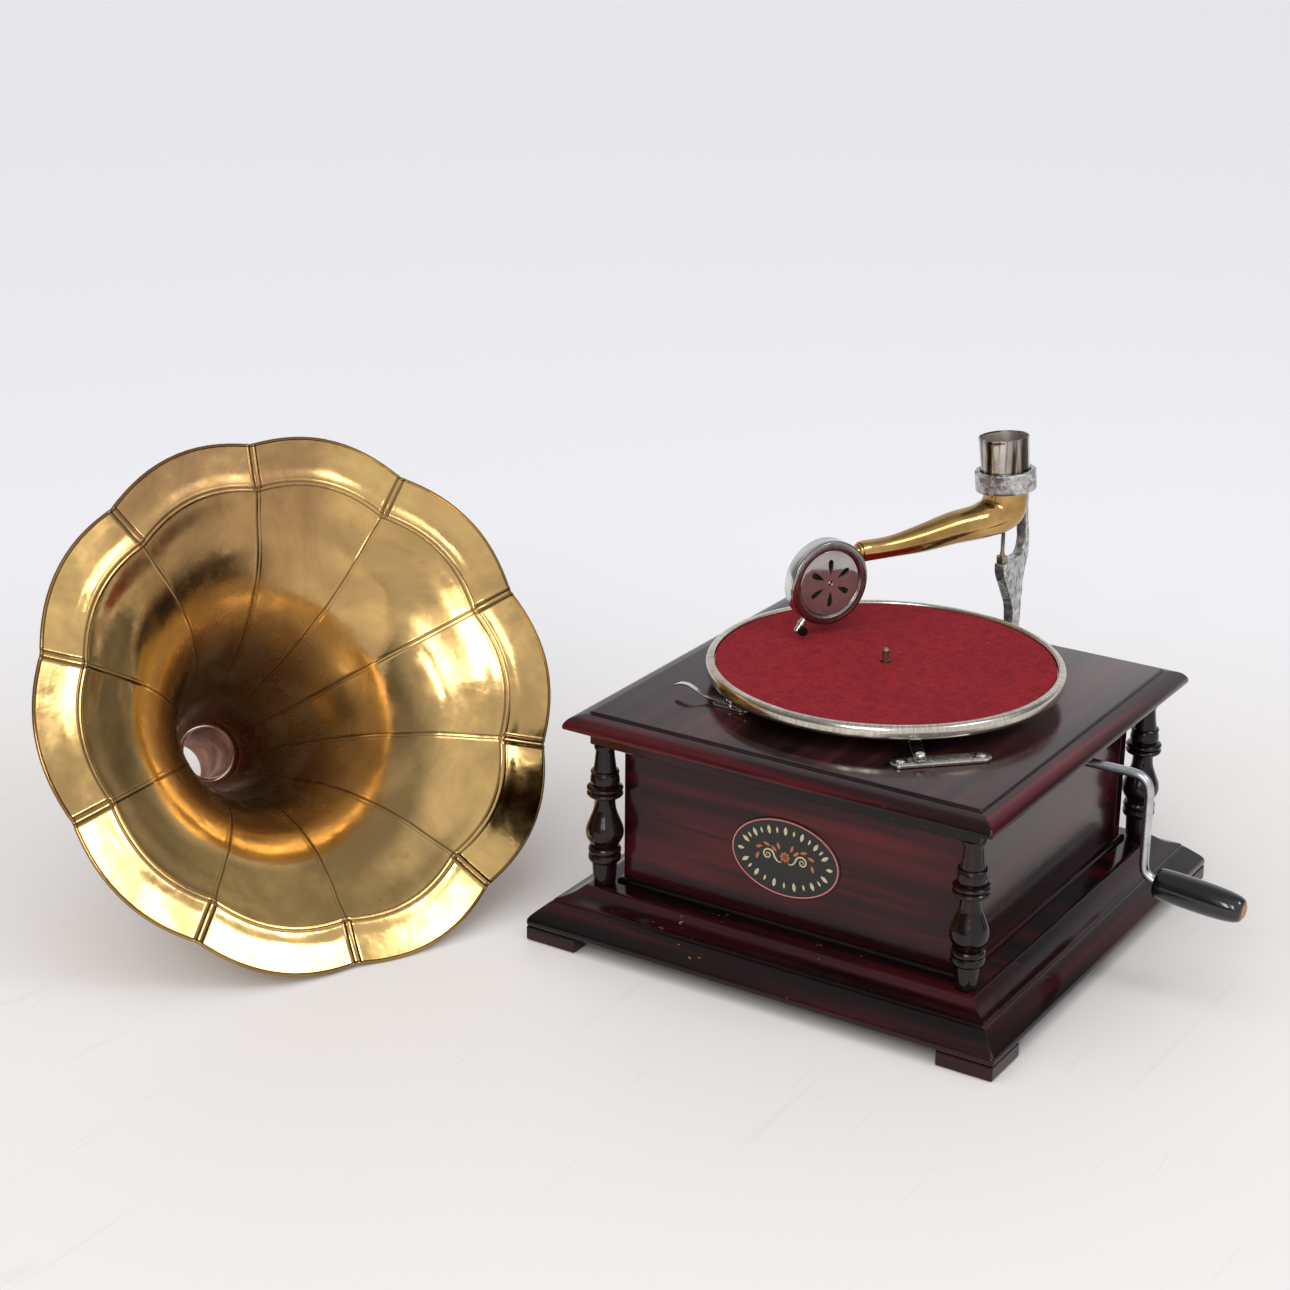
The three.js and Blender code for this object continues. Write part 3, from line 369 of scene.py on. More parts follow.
# ---------- materials ----------
def colour(code):
    """A linear colour from its usual six hexadecimal digits."""
    parts = [int(code[i:i + 2], 16) / 255 for i in (0, 2, 4)]
    return tuple(c / 12.92 if c <= 0.04045 else ((c + 0.055) / 1.055) ** 2.4 for c in parts) + (1,)


class Graph:
    """The nodes of a material or the world, with a short method for each kind that is used here.

    A colour is given by its six hexadecimal digits, and the place is a point of the frame.
    """

    def __init__(self, name, owner=None, shader="Principled BSDF", place="Object", **fixed):
        self.owner = owner or bpy.data.materials.new(name)
        self.owner.use_nodes = True
        self.nodes = self.owner.node_tree.nodes
        self.links = self.owner.node_tree.links
        self.shader = self.nodes[shader]
        for socket, value in fixed.items():
            self.shader.inputs[socket.replace("_", " ")].default_value = value
        self.place = self.node("TexCoord").outputs[place]

    def node(self, kind, inputs=(), **settings):
        made = self.nodes.new("ShaderNode" + kind)
        for key, value in settings.items():
            setattr(made, key, value)
        for socket, value in dict(inputs).items():
            self.feed(made.inputs[socket], value)
        return made

    def feed(self, socket, value):
        if isinstance(value, bpy.types.NodeSocket):
            self.links.new(value, socket)
        else:
            socket.default_value = colour(value) if isinstance(value, str) else value

    def stored(self, name, output="Vector"):
        return self.node("Attribute", attribute_name=name).outputs[output]

    def parts(self, vector):
        return self.node("SeparateXYZ", {0: vector}).outputs

    def noise(self, scale, detail=3.0, rough=0.5, twist=0.0, at=None):
        """Clouds or, with a scale for each direction, streaks."""
        at = at or self.place
        if isinstance(scale, tuple):
            at = self.node("Mapping", {"Vector": at, "Scale": scale}).outputs[0]
            scale = 1.0
        inputs = {"Vector": at, "Scale": scale, "Detail": detail, "Roughness": rough, "Distortion": twist}
        return self.node("TexNoise", inputs).outputs[0]

    def cells(self, scale, distance="EUCLIDEAN"):
        made = self.node("TexVoronoi", {"Vector": self.place, "Scale": scale}, distance=distance)
        return made.outputs["Distance"]

    def maths(self, operation, a, b=0.0):
        return self.node("Math", {0: a, 1: b}, operation=operation).outputs[0]

    def plus(self, a, b):
        return self.maths("ADD", a, b)

    def minus(self, a, b):
        return self.maths("SUBTRACT", a, b)

    def times(self, a, b):
        return self.maths("MULTIPLY", a, b)

    def spread(self, value, low, high, first=0.0, last=1.0):
        """Goes smoothly from first to last while the value goes from low to high."""
        inputs = {"Value": value, "From Min": low, "From Max": high, "To Min": first, "To Max": last}
        return self.node("MapRange", inputs, interpolation_type="SMOOTHSTEP").outputs[0]

    def specks(self, cells, wide, fine, patch, detail, patchy):
        """Small round specks that come in patches."""
        dots = self.spread(self.cells(cells), wide, fine)
        return self.times(dots, self.spread(self.noise(patch, detail), patchy, 0.66))

    def ramp(self, value, *stops):
        made = self.node("ValToRGB", {0: value})
        elements = made.color_ramp.elements
        while len(elements) < len(stops):
            elements.new(0.5)
        for element, (at, shade) in zip(elements, stops):
            element.position = at
            element.color = colour(shade)
        return made.outputs[0]

    def mixed(self, share, a, b):
        """Two colours by the share of the second. In this node sockets 6 and 7 are the colours."""
        return self.node("Mix", {0: share, 6: a, 7: b}, data_type="RGBA").outputs[2]

    def stain(self, base, value, low, high, share, shade):
        """Lays up to a share of a colour over the base, where a value is high."""
        return self.mixed(self.spread(value, low, high, 0.0, share), base, shade)

    def bump(self, height, distance, strength, over=None):
        inputs = {"Height": height, "Distance": distance, "Strength": strength}
        if over is not None:
            inputs["Normal"] = over
        return self.node("Bump", inputs).outputs[0]

    def finish(self, base, rough, normal=None):
        self.feed(self.shader.inputs["Base Color"], base)
        self.feed(self.shader.inputs["Roughness"], rough)
        if normal is not None:
            self.feed(self.shader.inputs["Normal"], normal)
        return self.owner


def painted_panel_shade(g, grain):
    """How much painted shade lies towards the ends, top and foot of a panel."""
    x, _, z = g.parts(grain)
    clear = g.times(g.spread(g.maths("ABSOLUTE", x), 0.132, 0.07), g.spread(z, 0.144, 0.118))
    clear = g.times(clear, g.spread(z, 0.04, 0.066))
    return g.minus(0.35, g.times(clear, 0.35))


def chips(g, grain):
    """Where flakes of varnish are gone, a few close together."""
    flecks = g.noise((120, 200, 200), 3, 0.6, at=grain)
    clusters = g.spread(g.noise(14, 1), 0.64, 0.68)
    return g.times(g.spread(flecks, 0.66, 0.68), clusters)


def varnished_wood(name, deep, middle_tone, streak, chipped=False, panel=False, painted_sheen=0.0, gloss=0.1):
    """Stained wood under varnish: streaks along the grain, fine pores, chips and dust, and, if asked, painted
    shade towards a panel's edges and a painted sheen.
    """
    g = Graph(name, Coat_Weight=gloss, Coat_Roughness=0.05, IOR=1.33)
    grain = g.stored("grain")
    broad = g.noise((3, 62, 62), twist=0.4, at=grain)
    wash = g.noise((4, 24, 24), 2, at=grain)
    pores = g.noise((60, 1400, 1400), 2, at=grain)
    level = g.plus(g.times(broad, 0.65), g.times(wash, 0.45))
    base = g.ramp(level, (0.43, deep), (0.55, middle_tone), (0.69, streak))
    base = g.stain(base, pores, 0.52, 0.72, 0.45, deep)
    relief = pores
    if panel:
        # painted shade: the deep tone darkens the panel towards its ends, top and foot
        base = g.mixed(painted_panel_shade(g, grain), base, deep)
    if chipped:
        chip = chips(g, grain)
        base = g.mixed(g.times(chip, 0.9), base, "945a3e")
        relief = g.minus(pores, g.times(chip, 2))
    dust = g.specks(150, 0.055, 0.03, 21, 2, 0.56)
    base = g.mixed(g.times(dust, 0.35), base, "a89c94")
    smudge_and_sheen = g.noise(13, 4, 0.6)
    if painted_sheen:
        # painted sheen: a greyish tone laid on in smudgy clouds, which also make the varnish rougher
        base = g.stain(base, smudge_and_sheen, 0.45, 0.75, painted_sheen, "57443f")
    waves = g.bump(g.noise((9, 40, 40), 2, at=grain), 0.0006, 0.16)
    return g.finish(base, g.spread(smudge_and_sheen, 0.35, 0.7, 0.09, 0.17), g.bump(relief, 0.00015, 0.35, waves))


def brass(name, bright, dull, brown, low_rough, high_rough, scratches=0.3):
    """Polished brass or copper: clouded tone, smudges and hairline scratches."""
    g = Graph(name, Metallic=1.0)
    clouds = g.noise(17, 5, 0.6, 0.4)
    smudge = g.noise(46, 4, 0.6)
    base = g.mixed(g.spread(clouds, 0.35, 0.65), bright, dull)
    base = g.stain(base, smudge, 0.58, 0.76, 0.7, brown)
    rough = g.spread(g.plus(smudge, g.times(clouds, 0.5)), 0.5, 0.95, low_rough, high_rough)
    hair = g.noise((900, 120, 500), 2)
    return g.finish(base, rough, g.bump(hair, 0.0002, 0.12 * scratches, g.bump(smudge, 0.001, 0.12)))


def horn_brass():
    """Sheet brass of the horn: tarnish by petal, brown seams and a dark throat.

    "horn_place" holds the way out from the horn's axis, and the distance from it in metres.
    """
    g = Graph("horn_brass", Metallic=1.0)
    round_x, round_y, radius = g.parts(g.stored("horn_place"))
    clouds = g.noise(11, 5, 0.6, 0.5)
    smudge = g.noise(38, 5, 0.62)
    pitting = g.noise(420, 3, 0.6)
    base = g.mixed(g.spread(clouds, 0.38, 0.64), "dcb674", "b99762")
    toward_top = g.plus(g.times(round_x, -0.17), g.times(round_y, 0.98))
    tarnish = g.times(g.spread(toward_top, 0.72, 0.97), g.spread(clouds, 0.3, 0.62, 0.55, 1.0))
    base = g.mixed(g.times(tarnish, 0.85), base, "8e6a4c")
    throat = g.spread(radius, 0.105, 0.035)
    base = g.mixed(g.times(throat, g.spread(smudge, 0.25, 0.6, 0.45, 0.95)), base, "a79680")
    base = g.stain(base, smudge, 0.6, 0.78, 0.5, "96703a")
    base = g.stain(base, g.stored("seam", "Fac"), 0.04, 0.5, 0.72, "64472a")
    base = g.stain(base, pitting, 0.71, 0.8, 0.35, "6a4426")
    rough = g.plus(g.spread(smudge, 0.35, 0.75, 0.1, 0.27), g.times(tarnish, 0.12))
    rough = g.plus(rough, g.times(throat, 0.14))
    dents = g.bump(g.noise(9, 2, 0.45), 0.012, 0.16)
    ripple = g.bump(g.noise(42, 3, 0.5), 0.002, 0.12, dents)
    return g.finish(base, rough, g.bump(pitting, 0.0001, 0.1, ripple))


def plated(name, bright, dull, stain, low_rough, high_rough, stains=0.4, brushed=(500, 500, 60), reflection_bands=0.0,
           metal=1.0):
    """Nickel or zinc plate, with smudges, stains, fine brushed lines and, if asked, painted reflections in
    upright bands.
    """
    g = Graph(name, Metallic=metal)
    clouds = g.noise(24, 4, 0.6)
    speck = g.noise(190, 4, 0.65)
    lines = g.noise(brushed)
    base = g.mixed(g.spread(clouds, 0.35, 0.65), bright, dull)
    if reflection_bands:
        upright = g.noise((95, 95, 3), rough=0.6)
        # painted reflections: upright bands of the dark overlay colour
        base = g.stain(base, upright, 0.44, 0.58, reflection_bands, stain)
    base = g.stain(base, speck, 0.62 - 0.1 * stains, 0.8, 0.8, stain)
    rough = g.spread(g.plus(clouds, g.times(lines, 0.6)), 0.55, 1.05, low_rough, high_rough)
    return g.finish(base, rough, g.bump(lines, 0.0001, 0.16, g.bump(speck, 0.0002, 0.14)))


def platter_nickel():
    """Worn nickel of the turntable: lines round its edge, brown where the plate has gone."""
    g = Graph("platter_nickel", Metallic=1.0)
    x, y, z = g.parts(g.place)
    centre = CABINET @ SPINDLE
    angle = g.maths("ARCTAN2", g.minus(y, centre.y), g.minus(x, centre.x))
    along = g.node("CombineXYZ", {0: g.times(angle, 60), 1: g.times(z, 90)}).outputs[0]
    rubs = g.noise(1, 4, 0.65, at=along)
    fine = g.noise(5, 3, 0.6, at=along)
    clouds = g.noise(14, 4, 0.6)
    base = g.mixed(g.spread(rubs, 0.35, 0.7), "d9d3c7", "bcb4a6")
    worn = g.spread(g.plus(g.times(angle, -0.11), clouds), 0.72, 0.93)
    base = g.mixed(g.times(worn, 0.6), base, "a07c50")
    base = g.stain(base, fine, 0.64, 0.8, 0.35, "6b5a46")
    normal = g.bump(fine, 0.0001, 0.12, g.bump(clouds, 0.0006, 0.06))
    return g.finish(base, g.spread(rubs, 0.3, 0.75, 0.13, 0.27), normal)


def cast():
    """Bright rough casting, as if hammered."""
    g = Graph("cast_metal", Metallic=0.82)
    lumps = g.noise(170, 3, 0.55, 0.6)
    fine = g.noise(620, 3, 0.6)
    base = g.ramp(lumps, (0.32, "6f6e6c"), (0.5, "b3b2b0"), (0.7, "dddcda"))
    normal = g.bump(fine, 0.0002, 0.3, g.bump(lumps, 0.0009, 0.6))
    return g.finish(base, g.spread(fine, 0.35, 0.7, 0.24, 0.5), normal)


def red_felt():
    """Crimson felt: tangled fibres, worn clouds and a little pale lint."""
    g = Graph("red_felt", Sheen_Weight=0.02, Sheen_Roughness=0.5, Specular_IOR_Level=0.04)
    fibres = g.noise(900, 4, 0.7, 1.5)
    mottle = g.noise(130, 4, 0.65)
    clouds = g.noise(16, 4, 0.6)
    base = g.ramp(fibres, (0.3, "541218"), (0.52, "881f25"), (0.75, "ac3840"))
    base = g.stain(base, mottle, 0.42, 0.66, 0.5, "611620")
    base = g.stain(base, clouds, 0.42, 0.68, 0.35, "741b25")
    base = g.mixed(g.times(g.specks(95, 0.05, 0.028, 33, 1, 0.6), 0.5), base, "d9b0a8")
    return g.finish(base, 0.92, g.bump(fibres, 0.0006, 0.55, g.bump(mottle, 0.0008, 0.25)))


def lacquer():
    """Glossy black paint with faint waves and rubbed spots."""
    g = Graph("black_grip", Coat_Weight=0.5, Coat_Roughness=0.05)
    rubs = g.noise(60, 5, 0.65)
    base = g.mixed(g.spread(rubs, 0.6, 0.8, 0.0, 0.6), "08080a", "2a2826")
    waves = g.bump(g.noise(150, 2), 0.0004, 0.12)
    return g.finish(base, g.spread(rubs, 0.35, 0.7, 0.08, 0.22), waves)


def bare_wood():
    """Turned pale wood, with rings and a little dirt."""
    g = Graph("grip_end_wood", Specular_IOR_Level=0.3)
    rings = g.noise((300, 900, 900))
    base = g.ramp(rings, (0.3, "8d6238"), (0.7, "c79a62"))
    return g.finish(base, g.spread(rings, 0.3, 0.7, 0.45, 0.65), g.bump(rings, 0.0003, 0.2))


def enamel(name, tone, worn_tone):
    """Thick printed paint, faintly mottled."""
    g = Graph(name)
    mottle = g.noise(380, 4, 0.7)
    base = g.mixed(g.spread(mottle, 0.5, 0.72, 0.0, 0.7), tone, worn_tone)
    return g.finish(base, g.spread(mottle, 0.3, 0.7, 0.24, 0.44), g.bump(mottle, 0.0001, 0.2))


def mica():
    """Brown see-through sheet with veins, its colour darkened to paint the shade seen through the grille's
    slots.
    """
    g = Graph("mica", Transmission_Weight=0.2, IOR=1.56)
    veins = g.noise(120, 5, 0.7, 1.2)
    base = g.ramp(veins, (0.35, "2e281d"), (0.65, "62573f"))
    return g.finish(base, g.spread(veins, 0.3, 0.7, 0.12, 0.3), g.bump(veins, 0.0002, 0.15))


def leather():
    """Dark creased leather of the brake's pad."""
    g = Graph("brake_leather", Specular_IOR_Level=0.3)
    creases = g.cells(1300)
    base = g.ramp(creases, (0.0, "1d130d"), (0.7, "46301f"))
    return g.finish(base, g.spread(creases, 0.1, 0.6, 0.75, 0.55), g.bump(creases, 0.0004, 0.4))


def embossed_nickel():
    """The speed plate: a stamped chequer, worn and dusty in its hollows."""
    g = Graph("embossed_nickel", Metallic=1.0)
    stamped = g.cells(950, "CHEBYCHEV")
    worn = g.noise(160, 4, 0.6)
    base = g.ramp(stamped, (0.1, "b9b3a6"), (0.55, "6d665b"))
    base = g.stain(base, worn, 0.45, 0.7, 0.6, "cfc9bc")
    return g.finish(base, g.spread(worn, 0.3, 0.7, 0.26, 0.45), g.bump(stamped, 0.0006, 0.5))


# the lid gets a painted greyish sheen
LID_WOOD = varnished_wood("lid_mahogany", "160c0c", "291415", "442022", painted_sheen=0.15, gloss=0.15)
BASE_WOOD = varnished_wood("base_mahogany", "090505", "170809", "380f13", chipped=True)
MOULDING_WOOD = varnished_wood("lid_edge_mahogany", "100607", "26090c", "5a161b", chipped=True)
PANEL_WOOD = varnished_wood("panel_mahogany", "1a080a", "2c0c0f", "58161b", panel=True)
SIDE_WOOD = varnished_wood("side_mahogany", "120708", "270b0d", "40131a", gloss=0.2)
COLUMN_WOOD = varnished_wood("column_wood", "060404", "0e0606", "260d0d", gloss=0.25)
HORN_BRASS = horn_brass()
ARM_BRASS = brass("arm_brass", "cba469", "a07c49", "745030", 0.08, 0.2)
CLOCK_BRASS = brass("clock_brass", "cfa955", "b08c40", "7a5a2c", 0.22, 0.4)
COPPER = brass("copper", "b48266", "96604a", "5a382a", 0.36, 0.6, 1.0)
PLATTER_NICKEL = platter_nickel()
NICKEL = plated("nickel", "dcd8cf", "b9b4a9", "5c5348", 0.14, 0.34, 0.6)
CHROME = plated("polished_nickel", "e6e4e1", "cfccc7", "77706a", 0.05, 0.2, 0.1)
# its dark overlay colour paints upright reflection bands as well as stains
SLEEVE_NICKEL = plated("sleeve_nickel", "ccc4bb", "aca298", "2a231d", 0.07, 0.18, 0.1, reflection_bands=0.95)
DULL_NICKEL = plated("dull_nickel", "cfc8be", "a9a196", "4a4036", 0.42, 0.6)
RIM_METAL = plated("soundbox_rim_metal", "a3a09e", "7c7977", "3e3a36", 0.12, 0.3, 0.5)
MIRROR = plated("soundbox_mirror", "b4afac", "9c9795", "5e5854", 0.04, 0.12, 0.1, metal=0.82)
STEEL = plated("steel", "bfc0c1", "9b9c9d", "5a544c", 0.25, 0.45, 0.3)
ZINC = plated("zinc_steel", "dcdde0", "b7b9bc", "6d6963", 0.16, 0.36, 0.3, (60, 500, 500))
OLD_STEEL = plated("old_steel", "a59b8c", "6f6354", "4c3626", 0.3, 0.5, 1.0)
DARK_SCREW = plated("dark_screw", "4a4643", "2b2826", "191513", 0.3, 0.5, 0.6)
CAST_METAL = cast()
FELT = red_felt()
BLACK_LACQUER = lacquer()
GRIP_WOOD = bare_wood()
BADGE_BLACK = enamel("badge_black", "161715", "2b2b27")
BADGE_CREAM = enamel("badge_cream", "c9b994", "8f7f60")
BADGE_CORAL = enamel("badge_coral", "c8706a", "9b4e48")
BADGE_ORANGE = enamel("badge_orange", "b8663c", "7e4028")
MICA = mica()
LEATHER = leather()
EMBOSSED = embossed_nickel()

# ---------- cabinet ----------
CORNERS = {"front_left": (-1, -1), "front_right": (1, -1), "back_left": (-1, 1), "back_right": (1, 1)}
BASE_TOP = 39
BODY_HALF = 132
BODY_INNER = BODY_HALF - 10
FRAME_BOTTOM = 146
FRAME_HALF = 149.5
LID_BOTTOM = 158.8
LID_TOP = 171.2
LID_STEP = 149.9  # half the side of the lid's flat, inside its moulding
COLUMN_AT = 141.9
NOTCH_HALF = 4.5
NOTCH_TOP = 155.3
GAP = 0.3


def feet():
    for corner in CORNERS:
        low, high = (TO_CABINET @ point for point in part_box(f"foot_{corner}"))
        shape = block(low, high)
        wooden(f"foot_{corner}_block", shape, BASE_WOOD, [f"foot_{corner}"], round_edges=1.1)


def base():
    lower = curve([(181.2, 10.7), (182, 11.6), (182, 15), (180.9, 17.2), (175, 23), (170.2, 27.2),
                   (168.9, 28)], 4)
    upper = curve([(168.5, 28.2), (168.1, 29.4), (167.4, 29.9), (162, 31.6), (157, 34.2), (153.4, 37.2),
                   (151.6, 38.6), (149.6, 39)], 4)
    wooden("base_moulding", square_board(line(lower, upper), 1.8), BASE_WOOD, ["base_board"], "mitred")
    bead = curve([(3.4, 0.1), (3.4, 1.6), (2.6, 2.8), (1.2, 3.4), (0.4, 3.5)], 3) + (BODY_HALF, BASE_TOP)
    wooden("base_bead", square_board(bead, 0.6), BASE_WOOD, grain="mitred")


def panels():
    low, high = BASE_TOP + GAP, FRAME_BOTTOM - GAP
    side = BODY_INNER - GAP
    boards = [
        ("front", (-BODY_HALF, -BODY_HALF), (BODY_HALF, -BODY_INNER), PANEL_WOOD, "x"),
        ("back", (-BODY_HALF, BODY_INNER), (BODY_HALF, BODY_HALF), PANEL_WOOD, "x"),
        ("left", (-BODY_HALF, -side), (-BODY_INNER, side), SIDE_WOOD, "y"),
        ("right", (BODY_INNER, -side), (BODY_HALF, side), SIDE_WOOD, "y"),
    ]
    for name, first, last, wood, grain in boards:
        shape = block((*first, low), (*last, high))
        wooden(f"{name}_board", shape, wood, [f"{name}_panel"], grain, 0.5)


def columns():
    low, high = BASE_TOP + GAP, FRAME_BOTTOM - GAP
    stretches = [  # radius and height as shares of the column's height, with a sharp step after each
        [(0.066, 0), (0.072, 0.008), (0.084, 0.16)],
        [(0.088, 0.163), (0.105, 0.175), (0.11, 0.2), (0.105, 0.222)],
        [(0.1, 0.226), (0.108, 0.24), (0.109, 0.255), (0.102, 0.272)],
        [(0.086, 0.28), (0.1, 0.3), (0.122, 0.345), (0.126, 0.375), (0.122, 0.41), (0.1, 0.47), (0.078, 0.53),
         (0.072, 0.56), (0.07, 0.6), (0.073, 0.628)],
        [(0.1, 0.632), (0.118, 0.645), (0.12, 0.66), (0.108, 0.673)],
        [(0.104, 0.676), (0.12, 0.688), (0.12, 0.7), (0.106, 0.712)],
        [(0.09, 0.717), (0.098, 0.74), (0.096, 0.77), (0.09, 0.797)],
        [(0.088, 0.8), (0.096, 0.808), (0.09, 0.817)],
        [(0.078, 0.82), (0.068, 0.89), (0.062, 0.955), (0.062, 0.965)],
        [(0.07, 0.968), (0.073, 0.98), (0.073, 1)],
    ]
    profile = line([(0, 0)], *[curve(s, 5) for s in stretches], [(0, 1)]) * (high - low) + (0, low)
    for corner, (x, y) in CORNERS.items():
        shape = moved(turned(profile, 64), shift(x * COLUMN_AT, y * COLUMN_AT, 0))
        wooden(f"{corner}_column", shape, COLUMN_WOOD, [f"column_{corner}"], "z")


def lid_frame():
    inner = BODY_INNER - 2
    top = LID_BOTTOM - GAP
    section = [(FRAME_HALF, FRAME_BOTTOM + 0.8), (FRAME_HALF, LID_BOTTOM - 1), (FRAME_HALF - 0.6, top),
               (inner, top), (inner, FRAME_BOTTOM), (FRAME_HALF - 0.8, FRAME_BOTTOM)]
    shape = skin([square_ring(half, z, 0.5) for half, z in section], closed=True)
    notch = block((inner - 2, CRANK_AXIS.y - NOTCH_HALF, FRAME_BOTTOM - 2),
                  (FRAME_HALF + 2, CRANK_AXIS.y + NOTCH_HALF, NOTCH_TOP))
    mesh = carved("lid_frame_moulding", shape, notch, CABINET)
    lay_grain(mesh, "mitred")
    show("lid_frame_moulding", mesh, BASE_WOOD, "cabinet", ["lid_frame"])


def lid():
    edge = curve([(162.8, LID_BOTTOM), (163.7, 159.4), (164, 160.6), (163.4, 163), (161.6, 165.4),
                  (158.8, 167.4), (154, 168.8), (150.4, 169.3)], 4)
    step = curve([(150, 169.6), (149.8, 170.6), (149.4, 171), (148.6, LID_TOP)], 3)
    made = wooden("lid_top", square_board(line(edge, step), 1.6), LID_WOOD, ["lid_board"], "mitred")

    def on_edge(face):
        return max(abs(face.center.x - BASE.x), abs(face.center.y - BASE.y)) > LID_STEP * MM

    second_material(made, MOULDING_WOOD, on_edge)


# ---------- badge ----------
BADGE_AT = (-1.5, 91)  # X and Z of its middle
BADGE_HALF = (42.5, 29)
BADGE_FACE = CABINET @ shift(BADGE_AT[0], -BODY_HALF - GAP, BADGE_AT[1]) @ turn(90, "X")
LEAF_RING = (33.2, 20.2)  # half its long way and half its short way
MARKS_FROM = 0.7  # height over the badge's back where the painted marks start


def leaf(centre, long, wide, heading, high):
    """A pointed lozenge with curved sides."""
    upper = [(long * s, wide * (1 - s * s)) for s in np.linspace(-1, 1, 9)]
    lower = [(-x, -y) for x, y in upper[1:-1]]
    c, s = math.cos(heading), math.sin(heading)
    outline = [(centre[0] + x * c - y * s, centre[1] + x * s + y * c) for x, y in upper + lower]
    return slab(outline, MARKS_FROM, high)


def scroll(side, low):
    """One half of the middle ornament: a stem that curls into a spiral."""
    a = np.linspace(0, 3.4 * math.pi, 60)
    r = 5.2 * np.exp(-0.17 * a)
    curl = np.stack([side * (13.4 - r * np.cos(a)), r * np.sin(a), np.full(60, low)], -1)
    stem = curve([(side * 2.4, -3.2, low), (side * 4.6, -3.6, low), (side * 6.6, -2.4, low), curl[0]], 6)
    path = line(stem[:-1], curl)
    thick = np.interp(np.linspace(0, 1, len(path)), [0, 0.2, 0.6, 1], [0.25, 0.75, 0.55, 0.2])
    return tube(path, thick, 8)


def leaf_ring():
    """Leaves round the badge, large and small in turn, and one at each end."""
    long_way, short_way = LEAF_RING
    marks = []
    for half, count in ((1, 13), (-1, 11)):
        for i, degrees in enumerate(np.linspace(22, 158, count)):
            x, y = math.cos(math.radians(half * degrees)), math.sin(math.radians(half * degrees))
            long, wide = (3.3, 1.35) if i % 2 == 0 else (2.3, 0.8)
            heading = math.atan2(y / short_way, x / long_way)
            marks.append(leaf((long_way * x, short_way * y), long, wide, heading, 0.95))
    return together(*marks, *[leaf((side * 34.5, 0), 2.6, 1.2, 0, 0.95) for side in (-1, 1)])


def sprays():
    """Small leaves over the scrolls, with a rosette between them."""
    spray = [(8.6, 5.4, 40), (14.4, 7.6, 15), (20.2, 4.4, -20), (21.4, -2.6, -70), (5.2, 8.2, 70)]
    leaves = []
    for side in (-1, 1):
        for x, y, degrees in spray:
            heading = math.radians(degrees if side == 1 else 180 - degrees)
            leaves.append(leaf((side * x, y), 2.9, 1.05, heading, 0.94))
    rosette = [leaf((2.1 * math.cos(a), 1 + 2.1 * math.sin(a)), 2, 1, a, 0.96) for a in all_round(8)]
    return together(*leaves, *rosette)


def badge():
    def painted(name, shape, material, stands_for=(), round_edges=0.0):
        piece(name, shape, BADGE_FACE, material, "cabinet", stands_for, round_edges)

    plate = line([(0, 0)], curve([(0.965, 0), (0.995, 0.25), (0.992, 0.5), (0.97, 0.72)], 3),
                 [(0.9, 0.78), (0.5, 0.8), (0.02, 0.8), (0, 0.8)])
    points, faces = turned(plate, 120)
    painted("badge_oval", (points * [*BADGE_HALF, 1], faces), BADGE_BLACK, ["badge_plate"])
    outline = [ring(1, z, all_round(120)) * [BADGE_HALF[0] - inset, BADGE_HALF[1] - inset, 1]
               for inset, z in ((1, 0.6), (1, 0.92), (2, 0.92), (2, 0.6))]
    painted("badge_outline", skin(outline, closed=True), BADGE_CORAL, round_edges=0.05)
    painted("badge_leaves", leaf_ring(), BADGE_CREAM)
    painted("badge_scrolls", together(scroll(1, 0.75), scroll(-1, 0.75)), BADGE_CREAM)
    painted("badge_sprays", sprays(), BADGE_ORANGE)


# ---------- turntable ----------
FELT_R = 120.3
FELT_HOLE_R = 3.8
FELT_TOP = 190.6
PLATE_TOP = FELT_TOP - 2


def platter():
    rim = curve([(123.6, 186.2), (124.1, 184.8), (124.4, 183), (125, 182.5), (126.1, 182.7), (126.9, 184),
                 (127, 186.6), (126.8, 189), (126, 190.9), (124.6, 191.9), (122.6, 192.1), (121.2, 191.7),
                 (120.8, 190.9)], 4)
    profile = line([(3.4, 176), (13.4, 176), (14, 176.6), (14, 186), (14.6, 186.3)], rim,
                   [(120.7, PLATE_TOP), (3.4, PLATE_TOP)])
    piece("platter_pan", turned(profile, 256), above(SPINDLE), PLATTER_NICKEL, "turntable",
          ["platter"])


def felt():
    """The disc of felt: a little uneven on top, with a hole for the pin."""
    edge = curve([(FELT_R, PLATE_TOP + 0.8), (FELT_R - 0.1, 190.1), (FELT_R - 0.9, FELT_TOP)], 3)
    pad = line([(FELT_HOLE_R, PLATE_TOP + GAP), (FELT_R - 0.3, PLATE_TOP + GAP)], edge,
               [(r, FELT_TOP) for r in np.linspace(117, 6, 38)],
               [(4.2, FELT_TOP - 0.1), (FELT_HOLE_R, FELT_TOP - 0.5)])
    points, faces = turned(pad, 224)
    uneven = [abs(0.16 * noise.noise(Vector(p) * 0.07) + 0.05 * noise.noise(Vector(p) * 0.5)) for p in points]
    points[:, 2] -= np.where(points[:, 2] > PLATE_TOP + 1, uneven, 0)
    disc = piece("felt_disc", (points, faces), above(SPINDLE), FELT, "turntable",
                 ["platter_felt"])


# ---------- crank ----------
CRANK_R = 3.3
CRANK_OUT = 201.2  # X of the crank's upright part
GRIP_DROOP = 4.6  # degrees
GRIP_START = (210.6, 75.2)


